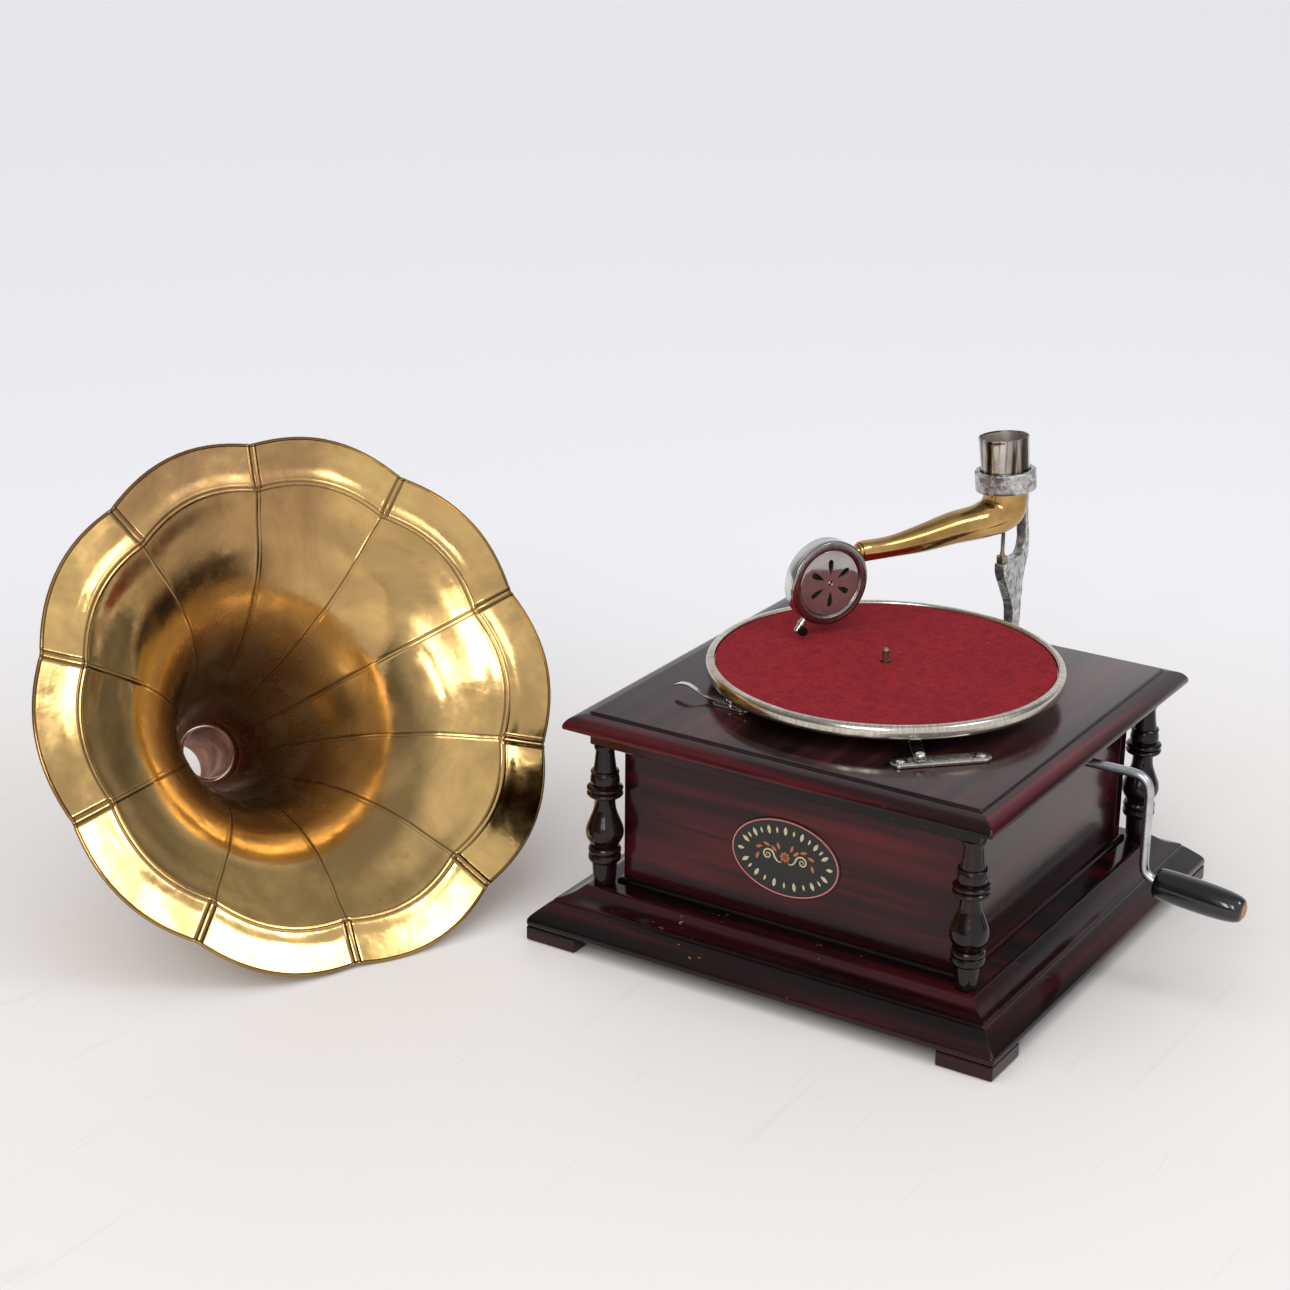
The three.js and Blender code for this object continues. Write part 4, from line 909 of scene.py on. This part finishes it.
def crank():
    z = CRANK_AXIS.z
    way = np.array([math.cos(math.radians(GRIP_DROOP)), -math.sin(math.radians(GRIP_DROOP))])
    path = line(
        [(80, z), (130, z)],
        curve([(187, z), (194, z - 1.2), (199.4, z - 5.8), (CRANK_OUT, z - 13)], 8),
        [(CRANK_OUT, 120)],
        curve([(CRANK_OUT, 88), (202.4, 81.4), (205.8, 77.6), GRIP_START], 8),
        [GRIP_START + 11.4 * way],
    )
    bar, tail = ([(x, CRANK_AXIS.y, height) for x, height in row] for row in (path, [(69, z), (80.5, z)]))
    rod = together(tube(bar, CRANK_R, 28), tube(tail, 1.8, 20))
    piece("crank_bar", rod, CABINET, ZINC, "crank", ["crank_rod"])

    start = GRIP_START + 0.6 * way
    place = CABINET @ shift(start[0], CRANK_AXIS.y, start[1]) @ turn(90 + GRIP_DROOP, "Y")
    outside = curve([(8.2, 0), (9.4, 0.5), (10.2, 1.8), (10.7, 5), (11, 10), (11.3, 26), (11.2, 40),
                     (10.2, 54), (9, 59.6), (7.4, 62.2), (5.6, 63)], 5)
    grip = line([(0.6, 12), (3.7, 12), (3.7, 0.4), (4.2, 0)], outside, [(2, 63.05), (0.6, 63.05)])
    piece("grip_handle", turned(grip, 72), place, BLACK_LACQUER, "crank", ["crank_grip"])
    peg = line([(0, 62.9)], curve([(5.1, 62.9), (5.2, 63.2), (4.8, 63.5)], 3), [(1.4, 63.6), (0, 63.6)])
    piece("grip_end_peg", turned(peg, 40), place, GRIP_WOOD, "crank")


# ---------- controls on the lid ----------
SPEED_LEVER = 72.7
SPEED_HEADING = math.radians(-55.7)
SCALE_START = np.array([73, -115])
SCALE_END = np.array([113, -76])
SCALE_TOP = 174.3
BRAKE_PAD = (16, -7)


def slotted(name, radius, height, place, material, heading=30):
    """A low domed screw head with a slot, standing on z = 0."""
    dome = curve([(radius, 0.1), (radius * 0.96, height * 0.5), (radius * 0.7, height * 0.85),
                  (radius * 0.3, height), (0.08, height)], 4)
    head = turned(line([(0, 0)], dome, [(0, height)]), 40)
    groove = block((-radius * 1.2, -radius * 0.13, height * 0.55), (radius * 1.2, radius * 0.13, height * 2))
    mesh = carved(name, head, moved(groove, turn(heading, "Z")), place)
    show(name, mesh, material, "cabinet")


def speed_lever():
    end = SPEED_SHAFT.xy + SPEED_LEVER * Vector((math.cos(SPEED_HEADING), math.sin(SPEED_HEADING)))
    bar = slab(round_ended(SPEED_SHAFT, end, 8.5, 16), 175.2, 176.4)
    piece("speed_lever_bar", bar, CABINET, NICKEL, "speed_control", ["speed_lever"], 0.25)
    knob = ribbed([(3.1, 0, 0), (3.5, 0.3, 0.1), (3.6, 0.6, 0.14), (3.6, 2.2, 0.14), (3.4, 2.7, 0.06),
                   (3, 3.3, 0), (2, 3.8, 0), (0.6, 3.9, 0)], 28)
    piece("speed_lever_knob", knob, above(end, 176.7), CHROME, "speed_control", ["speed_knob"])


def speed_plate():
    """The scale under the lever: a stamped band, two fine rails and a screw at each end."""
    def strip(name, start, end, width, steps, low, high, material, stands_for=(), round_edges=0.0):
        shape = slab(round_ended(start, end, width, steps), low, high)
        piece(name, shape, CABINET, material, "cabinet", stands_for, round_edges)

    way = (SCALE_END - SCALE_START) / np.linalg.norm(SCALE_END - SCALE_START)
    side = np.array([way[1], -way[0]])
    strip("speed_plate", SCALE_START, SCALE_END, 14, 16, LID_TOP + GAP, SCALE_TOP - 0.5, NICKEL,
          ["speed_scale_plate"], 0.5)
    inset = way * 9
    strip("speed_plate_band", SCALE_START + inset - side * 1.4, SCALE_END - inset - side * 1.4, 7.4, 10,
          SCALE_TOP - 0.6, SCALE_TOP - 0.1, EMBOSSED, round_edges=0.12)
    for i, aside in enumerate((3.9, 5.8)):
        strip(f"speed_plate_rail_{i + 1}", SCALE_START + side * aside, SCALE_END + side * aside, 0.9, 6,
              SCALE_TOP - 0.6, SCALE_TOP - 0.05, CHROME, round_edges=0.2)
    for i, at in enumerate((SCALE_START, SCALE_END)):
        place = above(at, SCALE_TOP - 0.5)
        slotted(f"speed_plate_screw_{i + 1}", 3.1, 1.1, place, CHROME, heading=20 + 70 * i)


def brake_control():
    place = above(BRAKE)
    foot = slab(round_ended((-8.5, 0), (8.5, 0), 10, 10), LID_TOP + GAP, LID_TOP + GAP + 1.5)
    neck = turned([(0, 171.8), (2.2, 171.8), (2.2, 176.4), (0, 176.4)], 32)
    piece("brake_foot", together(foot, neck), place, ZINC, "cabinet", ["brake_base"], 0.25)
    slotted("brake_pivot_screw", 3.4, 1.7, above(BRAKE, 176.4), CHROME)
    foot_screw = place @ shift(8.3, 0, 173)
    slotted("brake_foot_screw", 1.9, 0.8, foot_screw, NICKEL, heading=75)
    path = curve([(-2.6, 175), (-14, 175), (-21, 175.2), (-28, 178.2), (-35, 180.6), (-41, 180.2),
                  (-46, 178)], 6)
    widths = np.interp(path[:, 0], [-46, -43, -38, -24, -14], [3, 5, 4.6, 3.6, 5])
    piece("brake_finger", ribbon(path, widths, 1.1), place, CHROME, "brake", round_edges=0.3)
    eye = turned([(2.6, 174.4), (4.8, 174.4), (4.8, 175.6), (2.6, 175.6)], 40)
    arm = slab(round_ended((4, -1.7), BRAKE_PAD, 6, 12), 174.4, 175.6)
    piece("brake_arm", together(eye, arm), place, NICKEL, "brake", ["brake_lever"], 0.2)
    pad = line([(0, 175.9)], curve([(2.5, 175.9), (2.8, 176.3), (2.8, 180), (2.75, 184.8), (2.4, 185.4)], 4),
               [(0, 185.4)])
    pad_place = place @ shift(*BRAKE_PAD, 0)
    piece("brake_button", turned(pad, 36), pad_place, LEATHER, "brake", ["brake_pad"])


# ---------- bracket, sleeve and pin ----------
VOXEL = 0.9
CAST_BUMPS = 0.22
BORE_R = 20.8  # the casting stays smooth inside this, where the arm turns in its ring
SLEEVE_BORE_R = 18.05  # the plate is dull inside this


def casting():
    """The web that rises behind the cabinet, its foot on the back panel, and the ring on top."""
    web = [(132.3, 66), (150, 72), (182, 92), (206, 122), (215, 152), (216.5, 178), (219, 198), (223.5, 209),
           (224.5, 221), (221, 238), (219, 254), (220, 268), (220, 284)]
    inside = [(204.5, 268), (212.5, 262), (214, 250), (215.5, 236), (217, 222), (213, 214.6), (205, 213.5)]
    lower = [(180, 213.5), (182, 204), (193, 187), (201, 172), (202, 158), (194, 136), (172, 116), (144, 112),
             (132.3, 112)]
    outline = line(curve(web, 4), [(204.5, 284)], curve(inside, 4), curve(lower, 4))
    plate = moved(slab(outline, -4, 4), turn(90, "Z") @ turn(90, "X"))
    foot = block((-17, 132.3, 58), (17, 136, 122))
    collar = line(curve([(18.9, 0.2), (22.2, 0.3), (22.8, 1.2)], 2),
                  curve([(22.8, 13.6), (23.1, 14.6), (22.6, RING_HEIGHT)], 2), [(18.9, RING_HEIGHT)])
    stand = moved(together(plate, foot), CABINET @ shift(ARM_PIVOT.x, 0, 0))
    return together(stand, moved(turned(collar, 96), COLLAR))


def bracket():
    mesh = mesh_of("casting", casting(), Matrix())
    mesh = with_modifier(mesh, "REMESH", mode="VOXEL", voxel_size=VOXEL * MM, use_smooth_shade=True)
    normals = [v.normal.copy() for v in mesh.vertices]
    axis = (CABINET @ ARM_PIVOT).xy
    for v, normal in zip(mesh.vertices, normals):
        in_bore = v.co.z > (RING_BOTTOM - 1.5) * MM and (v.co.xy - axis).length < BORE_R * MM
        if not in_bore:
            lump = noise.noise(v.co * 160) + 0.5 * noise.noise(v.co * 420)
            v.co += normal * CAST_BUMPS * MM * lump
    smooth(mesh)
    show("bracket_casting", mesh, CAST_METAL, "cabinet", ["horn_bracket"])


def sleeve():
    outside = curve([(18.2, 0.6), (18.2, 17), (18.5, 28), (18.95, 38.5), (19.2, 40.4)], 6)
    lip = [(19.1, 40.9), (18.5, 41), (18.1, 40.7)]
    inside = curve([(18, 40), (17.5, 28), (17.2, 17), (17.2, 0.6)], 6)
    points, faces = turned(line(outside, lip, inside), 128)
    made = piece("sleeve_tube", (points, faces), COLLAR, SLEEVE_NICKEL, "cabinet",
                 ["horn_sleeve"])
    out = np.linalg.norm(points[:, :2], axis=1)
    second_material(made, DULL_NICKEL, lambda face: out[list(face.vertices)].max() < SLEEVE_BORE_R)


def pivot_pin():
    pin = [(0, 206.5), (1.7, 206.5), (1.9, 206.8), (1.9, 221), (1.5, 222), (1.5, 236.6), (1.2, 237.5),
           (0.4, 238), (0, 238)]
    nut = [(4.3, 213.8), (4.6, 214.2), (4.6, 218.4), (4.2, 218.8)]
    nut = skin([ring(r, z, all_round(6)) for r, z in nut])
    shape = together(turned(pin, 32), nut)
    piece("pivot_pin_and_nut", shape, above(ARM_PIVOT), OLD_STEEL, "cabinet", ["arm_pivot_pin"])


# ---------- tone arm ----------
ARM_WALL = 1.3
ARM_LIP = 0.5
ARM_END_R = 7.85
ARM_SECTIONS = [  # along the arm: the upper point, the lower point and half the width of each section
    (16.3, 275.4, -16.3, 275.4, 16.3),
    (16.8, 267.6, -16.8, 264.5, 16.8),
    (17.3, 265.4, -15, 253.5, 16.8),
    (18.2, 264.8, -9, 244.6, 16.3),
    (20.5, 264.2, 1, 239.4, 15.2),
    (27, 262.4, 17, 236.8, 13.6),
    (49.5, 259.8, 46.5, 235.8, 12.1),
    (76.6, 253.9, 73.6, 233.6, 9.9),
    (101.6, 249.6, 100.6, 233.6, 7.9),
    (ARM_END[0], ARM_END[1] + ARM_END_R, ARM_END[0], ARM_END[1] - ARM_END_R, ARM_END_R),
]


def arm_ring(section, inset):
    """An oval of points for one section of the arm, smaller by the inset."""
    a = all_round(72)
    top, low, wide = section[0:2], section[2:4], section[4] - inset
    centre = (top + low) / 2
    half = (top - low) / 2
    half = half * (1 - inset / np.linalg.norm(half))
    return np.stack([centre[0] + half[0] * np.cos(a), wide * np.sin(a), centre[1] + half[1] * np.cos(a)], -1)


def tone_arm():
    fine = curve(ARM_SECTIONS, 8)
    outer = [arm_ring(s, 0) for s in fine[:-1]] + [arm_ring(fine[-1], ARM_LIP)]
    inner = [arm_ring(s, ARM_WALL) for s in reversed(fine[::4])]
    shape = skin(outer + inner, closed=True)
    piece("tone_arm_pipe", shape, ARM, ARM_BRASS, "tone_arm", ["tonearm_tube"])


# ---------- sound box ----------
LEAN = turn(-CHUCK_LEAN, "Y")
FACE_R = 22.8  # the domed part of the face
FACE_EDGE = 12.4
FACE_RISE = 0.9
SLOTS = 6


def boxed(name, shape, place, material, stands_for=(), round_edges=0.0):
    """A piece of the sound box."""
    piece(name, shape, place, material, "sound_box", stands_for, round_edges)


def sound_box_shell():
    """The drum, with a slot in its wall for the stylus bar, and the ring that holds the face."""
    shell = line([(5.3, 0.3), (5.3, 0)], curve([(20, 0), (28.6, 0), (30.6, 0.4), (31.5, 1.6)], 4),
                 curve([(31.5, 9), (31.4, 10), (31, 10.6)], 3), [(28.6, 10.6), (28.4, 2), (5.3, 2)])
    opening = moved(block((-2.6, 8.2, -32.5), (2.6, 11, -26)), turn(90, "X") @ LEAN)
    mesh = carved("soundbox_body", turned(shell, 144), opening, BOX_FACE)
    show("soundbox_body", mesh, CHROME, "sound_box", ["soundbox_shell"])
    rim = line([(24.7, 11), (24.7, 10.9)], curve([(31, 10.9), (31.5, 11.3), (31.5, 12.4), (31, 13.1),
               (29.8, 13.6)], 3), [(28.9, 13.6), (28.7, 13.3), (28.4, 13.3), (28.2, 13.6)],
               curve([(26.4, 13.6), (25.6, 13.4), (25.1, 12.6), (24.7, 12.2)], 3))
    boxed("soundbox_rim", turned(rim, 144), BOX_FACE, RIM_METAL, ["soundbox_cover"])


def sound_box_face():
    """The domed mirror with its drop-shaped slots, and the mica behind it."""
    dome = [(r, FACE_EDGE + FACE_RISE * (1 - (r / FACE_R) ** 2)) for r in (20, 16, 12, 8, 4, 1)]
    disc = line([(0, 11.2), (24.4, 11.2)], curve([(24.5, 11.6), (24.2, 12.1), (FACE_R, FACE_EDGE)], 3), dome,
                [(0, FACE_EDGE + FACE_RISE)])
    t = all_round(36)
    drop = np.stack([12.2 + 5.8 * np.cos(t), 3.1 * np.sin(t) * (0.62 + 0.38 * np.cos(t))], -1)
    holes = [moved(slab(drop, 10.5, 14.5), turn(360 / SLOTS * i + 90, "Z")) for i in range(SLOTS)]
    holes.append(slab(ring(2.1, 0, all_round(32))[:, :2], 10.5, 14.5))
    mesh = carved("soundbox_grille", turned(disc, 144), together(*holes), BOX_FACE)
    show("soundbox_grille", mesh, MIRROR, "sound_box")
    waves = [(r, 6.6 + 0.12 * math.cos(r * 1.1)) for r in np.linspace(26, 1, 26)]
    sheet = turned(line([(0, 6), (28, 6), (28, 6.6)], waves, [(0, 6.7)]), 96)
    boxed("mica_sheet", sheet, BOX_FACE, MICA, ["diaphragm"])


def needle_holder():
    """The stylus bar outside the drum, its chuck, and the thumb screw that grips the needle."""
    bar = moved(block((-1.5, 8.6, -32), (1.5, 10.4, 2.5)), LEAN)
    boxed("stylus_bar", bar, BOX, NICKEL, ["needle_bar"], 0.3)
    chuck = [(0, -43.4), (1.5, -43.4), (2.1, -42.8), (2.4, -41.8), (2.4, -37), (3, -36.6), (3, -34.2),
             (2.4, -33.8), (2.4, -31.9), (0, -31.9)]
    boxed("needle_chuck", moved(turned(chuck, 40), LEAN @ shift(0, 9.5, 0)), BOX, CHROME)
    screw = ribbed([(1.4, 0, 0), (1.4, 1.2, 0), (3.1, 1.3, 0), (3.4, 1.6, 0.22), (3.4, 5, 0.22),
                    (3.1, 5.4, 0), (1.5, 5.5, 0)], 22)
    screw = moved(screw, LEAN @ shift(0, 12.2, -39.9) @ turn(-90, "X"))
    boxed("chuck_thumb_screw", screw, BOX, DARK_SCREW, ["needle_thumb_screw"])


def crook():
    """The bent pipe from the arm's end to the back of the drum, with its ferrule and flange."""
    path = curve([(-45.6, -6.2, 13), (-32.6, -6.2, 13), (-22, -6.8, 12.4), (-10.5, -9.6, 8.4),
                  (-2.2, -10.8, 2.6), (0, -6.8, 0), (0, 1.7, 0)], 10)
    ferrule = line([(5, -40)], curve([(6.2, -40), (6.3, -37), (6.2, -34.6), (5.6, -34)], 4), [(5, -33.8)])
    ferrule = moved(turned(ferrule, 48), shift(0, -6.2, 13) @ turn(90, "Y"))
    pipe = together(tube(path, 5, 40), ferrule)
    boxed("crook_pipe", pipe, BOX, ARM_BRASS, ["soundbox_crook"])
    flange = line([(5.2, -0.3)], curve([(9.4, -0.3), (9.2, -1.2), (7.6, -2), (5.6, -2.3)], 4), [(5.2, -2.3)])
    boxed("crook_flange", turned(flange, 48), BOX_FACE, CHROME)


# ---------- horn ----------
HORN_WALL = 1.4
RING_GROOVE = 155.6  # radius where the flare meets the petals' band
FLARE = [  # radius and height of the inner side, from the mouth to the throat
    (186.2, 1.05), (178, -0.4), (167, -2.2), (155.6, -3.6), (140, -12), (113.5, -25.5), (90, -47),
    (74.5, -69), (64, -88), (55.5, -108), (40, -150), (22, -211),
]
SEAM_STEPS = np.array([0, 0.6, 1.1, 1.6, 2.1, 2.6, 3.1, 3.6, 4.2, 5, 6.2, 8])  # millimetres aside from a seam
PETAL_STEPS = 12
PETAL_BOW = (6, 3)  # how far a petal's middle stands out and forward at the rim
BEAD_R = 1.05


def hump(distance, width):
    return np.exp(-(distance / width) ** 2)


def seam_relief(aside, radius):
    """How far the sheet stands up beside a seam: two rolls near the mouth, one finer one inside."""
    outer = 0.95 * hump(np.abs(aside) - 2.3, 0.85) + 0.25 * hump(aside, 2.6)
    inner = 0.7 * hump(aside - 0.9, 0.75) + 0.3 * hump(aside + 1.6, 0.6)
    share = np.clip((radius - RING_GROOVE + 1) / 3, 0, 1)
    return 0.8 * (share * outer + (1 - share) * inner * np.clip(radius / 70, 0.35, 1))


def groove_relief(radius):
    """Two fine rolls round the horn, with a groove between them."""
    return 0.5 * hump(radius - RING_GROOVE - 1.4, 0.7) + 0.5 * hump(radius - RING_GROOVE + 1.4, 0.7)


def beaten(point):
    """Shallow dents left by the beating of the sheet."""
    at = Vector(point)
    return 0.7 * noise.noise(at * 0.017) + 0.22 * noise.noise(at * 0.05)


def round_the_mouth(radius):
    """Angles close together beside each seam, their distances from it, and their shares of a petal."""
    petal = 2 * math.pi / PETALS
    zone = min(1, 0.36 * petal * radius / SEAM_STEPS[-1])
    beside = SEAM_STEPS * zone / radius
    between = np.linspace(beside[-1], petal - beside[-1], PETAL_STEPS + 2)[1:-1]
    one = np.concatenate([beside, between, petal - beside[::-1][:-1]])
    aside = np.concatenate([SEAM_STEPS, np.full(PETAL_STEPS, 99.0), -SEAM_STEPS[::-1][:-1]])
    every = np.concatenate([math.radians(FIRST_SEAM) + petal * k + one for k in range(PETALS)])
    return every, np.tile(aside, PETALS), np.tile(one / petal, PETALS)


def horn_ring(radius, height, outward):
    """A ring of the sheet at some depth in its wall, and how far its seams stand up."""
    a, aside, share = round_the_mouth(radius)
    reach = np.clip((radius - 60) / 127, 0, 1)
    reach = reach * reach * (3 - 2 * reach)
    bow = np.sin(share * math.pi) * reach
    relief = seam_relief(aside, radius) + groove_relief(radius)
    dents = [beaten((radius * math.cos(b), radius * math.sin(b), height)) for b in a]
    lift = relief + np.array(dents) * min(1, radius / 60)
    r = radius + PETAL_BOW[0] * bow + outward * min(1, 1.2 - 0.9 * reach) - lift * (1 - reach) * 0.8
    z = height + PETAL_BOW[1] * bow - outward * (0.3 + 0.7 * reach) + lift * (0.25 + 0.75 * reach)
    return ring(r, z, a), relief


def rim_bead(edge, across):
    """The rolled edge, as rings round the middle of the sheet's edge."""
    radial = edge * [1, 1, 0] / np.linalg.norm(edge[:, :2], axis=1)[:, None]
    across = across / np.linalg.norm(across, axis=1)[:, None]
    angles = np.radians(np.linspace(-60, 240, 9))
    return [edge + radial * (0.5 + BEAD_R * math.cos(a)) + across * BEAD_R * math.sin(a) for a in angles]


def horn_bell():
    flare = curve(FLARE, 9)
    near_groove = np.arange(RING_GROOVE + 4.2, RING_GROOVE - 4.2, -0.6)
    radii = np.array(sorted({round(r, 2) for r in [*flare[:, 0], *near_groove]}, reverse=True))
    order = np.argsort(flare[:, 0])
    heights = np.interp(radii, flare[order, 0], flare[order, 1])
    inside, outside = ([horn_ring(r, h, depth) for r, h in zip(radii, heights)] for depth in (0, HORN_WALL))
    edge, _ = horn_ring(radii[0], heights[0], HORN_WALL / 2)
    bead = rim_bead(edge, inside[0][0] - outside[0][0])
    rows = outside[:0:-1] + [(points, np.full(len(edge), 0.35)) for points in bead] + inside[1:]
    points, faces = skin([row for row, _ in rows], closed=True)
    mesh = mesh_of("horn_petals", (points, faces), HORN)
    store(mesh, "seam", "FLOAT", "POINT", np.clip(np.concatenate([relief for _, relief in rows]), 0, 1))
    out = np.linalg.norm(points[:, :2], axis=1)
    place = np.column_stack([points[:, :2] / out[:, None], out * MM])
    store(mesh, "horn_place", "FLOAT_VECTOR", "POINT", place)
    show("horn_petals", mesh, HORN_BRASS, "horn", ["horn_bell"])


def horn_neck():
    outside = curve([(20.6, -206), (21.2, -214), (21.3, -240), (21.2, -270), (21.3, -284)], 5)
    inside = curve([(20.1, -284.4), (20, -270), (20.1, -240), (20, -214), (19.6, -206)], 5)
    points, faces = turned(line(outside, [(21.6, -284.8), (21.3, -285.6), (20.5, -285.5)], inside), 96)
    a = np.arctan2(points[:, 1], points[:, 0])
    points[:, :2] *= (1 + 0.004 * np.sin(3 * a + points[:, 2] * 0.05))[:, None]
    piece("horn_neck_pipe", (points, faces), HORN, COPPER, "horn", ["horn_neck"])


# ---------- what stays as it is in the frame ----------
KEPT = [
    (OLD_STEEL, ["spindle", "mainspring"]),
    (CLOCK_BRASS, ["spindle_worm_wheel", "barrel_wheel", "winding_wheel", "second_wheel", "governor_disc",
                   "governor_weight_1", "governor_weight_2", "governor_weight_3"]),
    (STEEL, ["motor_upper_plate", "motor_lower_plate", "motor_pillar_front_left", "motor_pillar_front_right",
             "motor_pillar_back", "spring_barrel", "winding_arbor", "winding_pinion", "second_arbor",
             "governor_worm_shaft", "speed_shaft"]),
]


def dress_kept_nodes():
    for material, names in KEPT:
        for name in names:
            node = frame["nodes"][name]
            if not node.material_slots:
                node.data.materials.append(material)
            for holder in node.material_slots:
                holder.material = material


# ---------- studio: metres in the frame's axes, but for the camera's place ----------
CAMERA_AT = (792.88, -1562.16, 860.49)  # millimetres in the cabinet's frame
CAMERA_AZIMUTH = 32.445  # degrees round from straight in front
CAMERA_PITCH = 20.667
CAMERA_ROLL = 0.58
FOCAL = 74.02
SENSOR = 36.0
FLOOR_R = 60
FLOOR_DROP = 0.0003
SUN_WAY = (0.15, 0.45, -1)
SOFTBOXES = [  # place, what it is aimed at, width, height, power
    ("front_light_wide", (1.0, -1.98, 1.25), (-0.15, -0.15, 0.2), 0.4, 1.0, 9),
    ("front_light_thin", (0.44, -2.2, 1.25), (-0.15, -0.15, 0.2), 0.22, 1.0, 6),
    ("right_light", (1.58, 0.21, 1.69), (-0.2, -0.1, 0.12), 0.6, 0.5, 7),
]
DARK_ROOM = 0.17
WALLS = [  # the white backdrop, the bright side of the room, and the ceiling: way, limits, brightness
    ((-0.51, 0.85, 0.1), 0.3, 0.85, 0.8),
    ((0.75, -0.43, 0.5), 0.36, 0.76, 0.84),
    ((0, 0, 1), 0.3, 0.9, 0.42),
]


def camera():
    data = bpy.data.cameras.new("camera")
    data.sensor_width = SENSOR
    data.lens = FOCAL
    data.clip_start = 0.05
    data.clip_end = 200
    made = new_object("camera", data)
    aim = turn(CAMERA_AZIMUTH, "Z") @ turn(90 - CAMERA_PITCH, "X") @ turn(CAMERA_ROLL, "Z")
    made.matrix_world = Matrix.Translation(CABINET @ Vector(CAMERA_AT)) @ aim
    bpy.context.scene.camera = made


def aimed(way):
    return Vector(way).to_track_quat("-Z", "Y").to_euler()


def floor_material():
    """Off-white studio paper, a little cooler further back, with faint scratches."""
    g = Graph("studio_paper", Specular_IOR_Level=0.3)
    x, y, _ = g.parts(g.place)
    back = g.plus(g.times(x, -0.54), g.times(y, 0.84))
    base = g.ramp(g.spread(back, 0.1, 0.9), (0, "dedad7"), (1, "e8e7ea"))
    scratches = g.noise((90, 4, 1), twist=1.2)
    near = g.spread(back, 0.7, 0.1, 0.0, 0.12)
    base = g.mixed(g.times(g.spread(scratches, 0.66, 0.7), near), base, "b9b4ae")
    return g.finish(base, 0.5)


def floor():
    mesh = bpy.data.meshes.new("studio_floor")
    mesh.from_pydata(ring(FLOOR_R, 0, all_round(64)).tolist(), [], [tuple(range(64))])
    mesh.materials.append(floor_material())
    ground = new_object("studio_floor", mesh)
    ground.location.z = -FLOOR_DROP


def lights():
    for name, at, aim, width, height, power in SOFTBOXES:
        data = bpy.data.lights.new(name, "AREA")
        data.shape = "RECTANGLE"
        data.size = width
        data.size_y = height
        data.energy = power
        made = new_object(name, data)
        made.location = at
        made.visible_camera = False
        made.rotation_euler = aimed(Vector(aim) - Vector(at))
    data = bpy.data.lights.new("overhead_light", "SUN")
    data.energy = 1.5
    data.angle = math.radians(75)
    overhead = new_object("overhead_light", data)
    overhead.rotation_euler = aimed(SUN_WAY)
    overhead.visible_glossy = False


def room():
    """The world's light: dim, with brighter walls and ceiling that blend into it."""
    world = bpy.data.worlds.new("studio")
    bpy.context.scene.world = world
    g = Graph("studio", world, "Background", "Generated", Color=(0.96, 0.97, 1, 1))
    strength = None
    for way, far, near, bright in WALLS:
        toward = g.node("VectorMath", {0: g.place, 1: way}, operation="DOT_PRODUCT")
        glow = g.spread(toward.outputs["Value"], far, near, DARK_ROOM, bright)
        strength = g.maths("MAXIMUM", strength, glow) if strength else glow
    g.feed(g.shader.inputs["Strength"], strength)
    bpy.context.scene.view_settings.view_transform = "Standard"


STEPS = [
    camera, floor, lights, room,
    feet, base, panels, columns, lid_frame, lid, badge,
    platter, felt, crank, speed_lever, speed_plate, brake_control,
    bracket, sleeve, pivot_pin, tone_arm,
    sound_box_shell, sound_box_face, needle_holder, crook,
    horn_bell, horn_neck, dress_kept_nodes,
]
for step in STEPS:
    step()
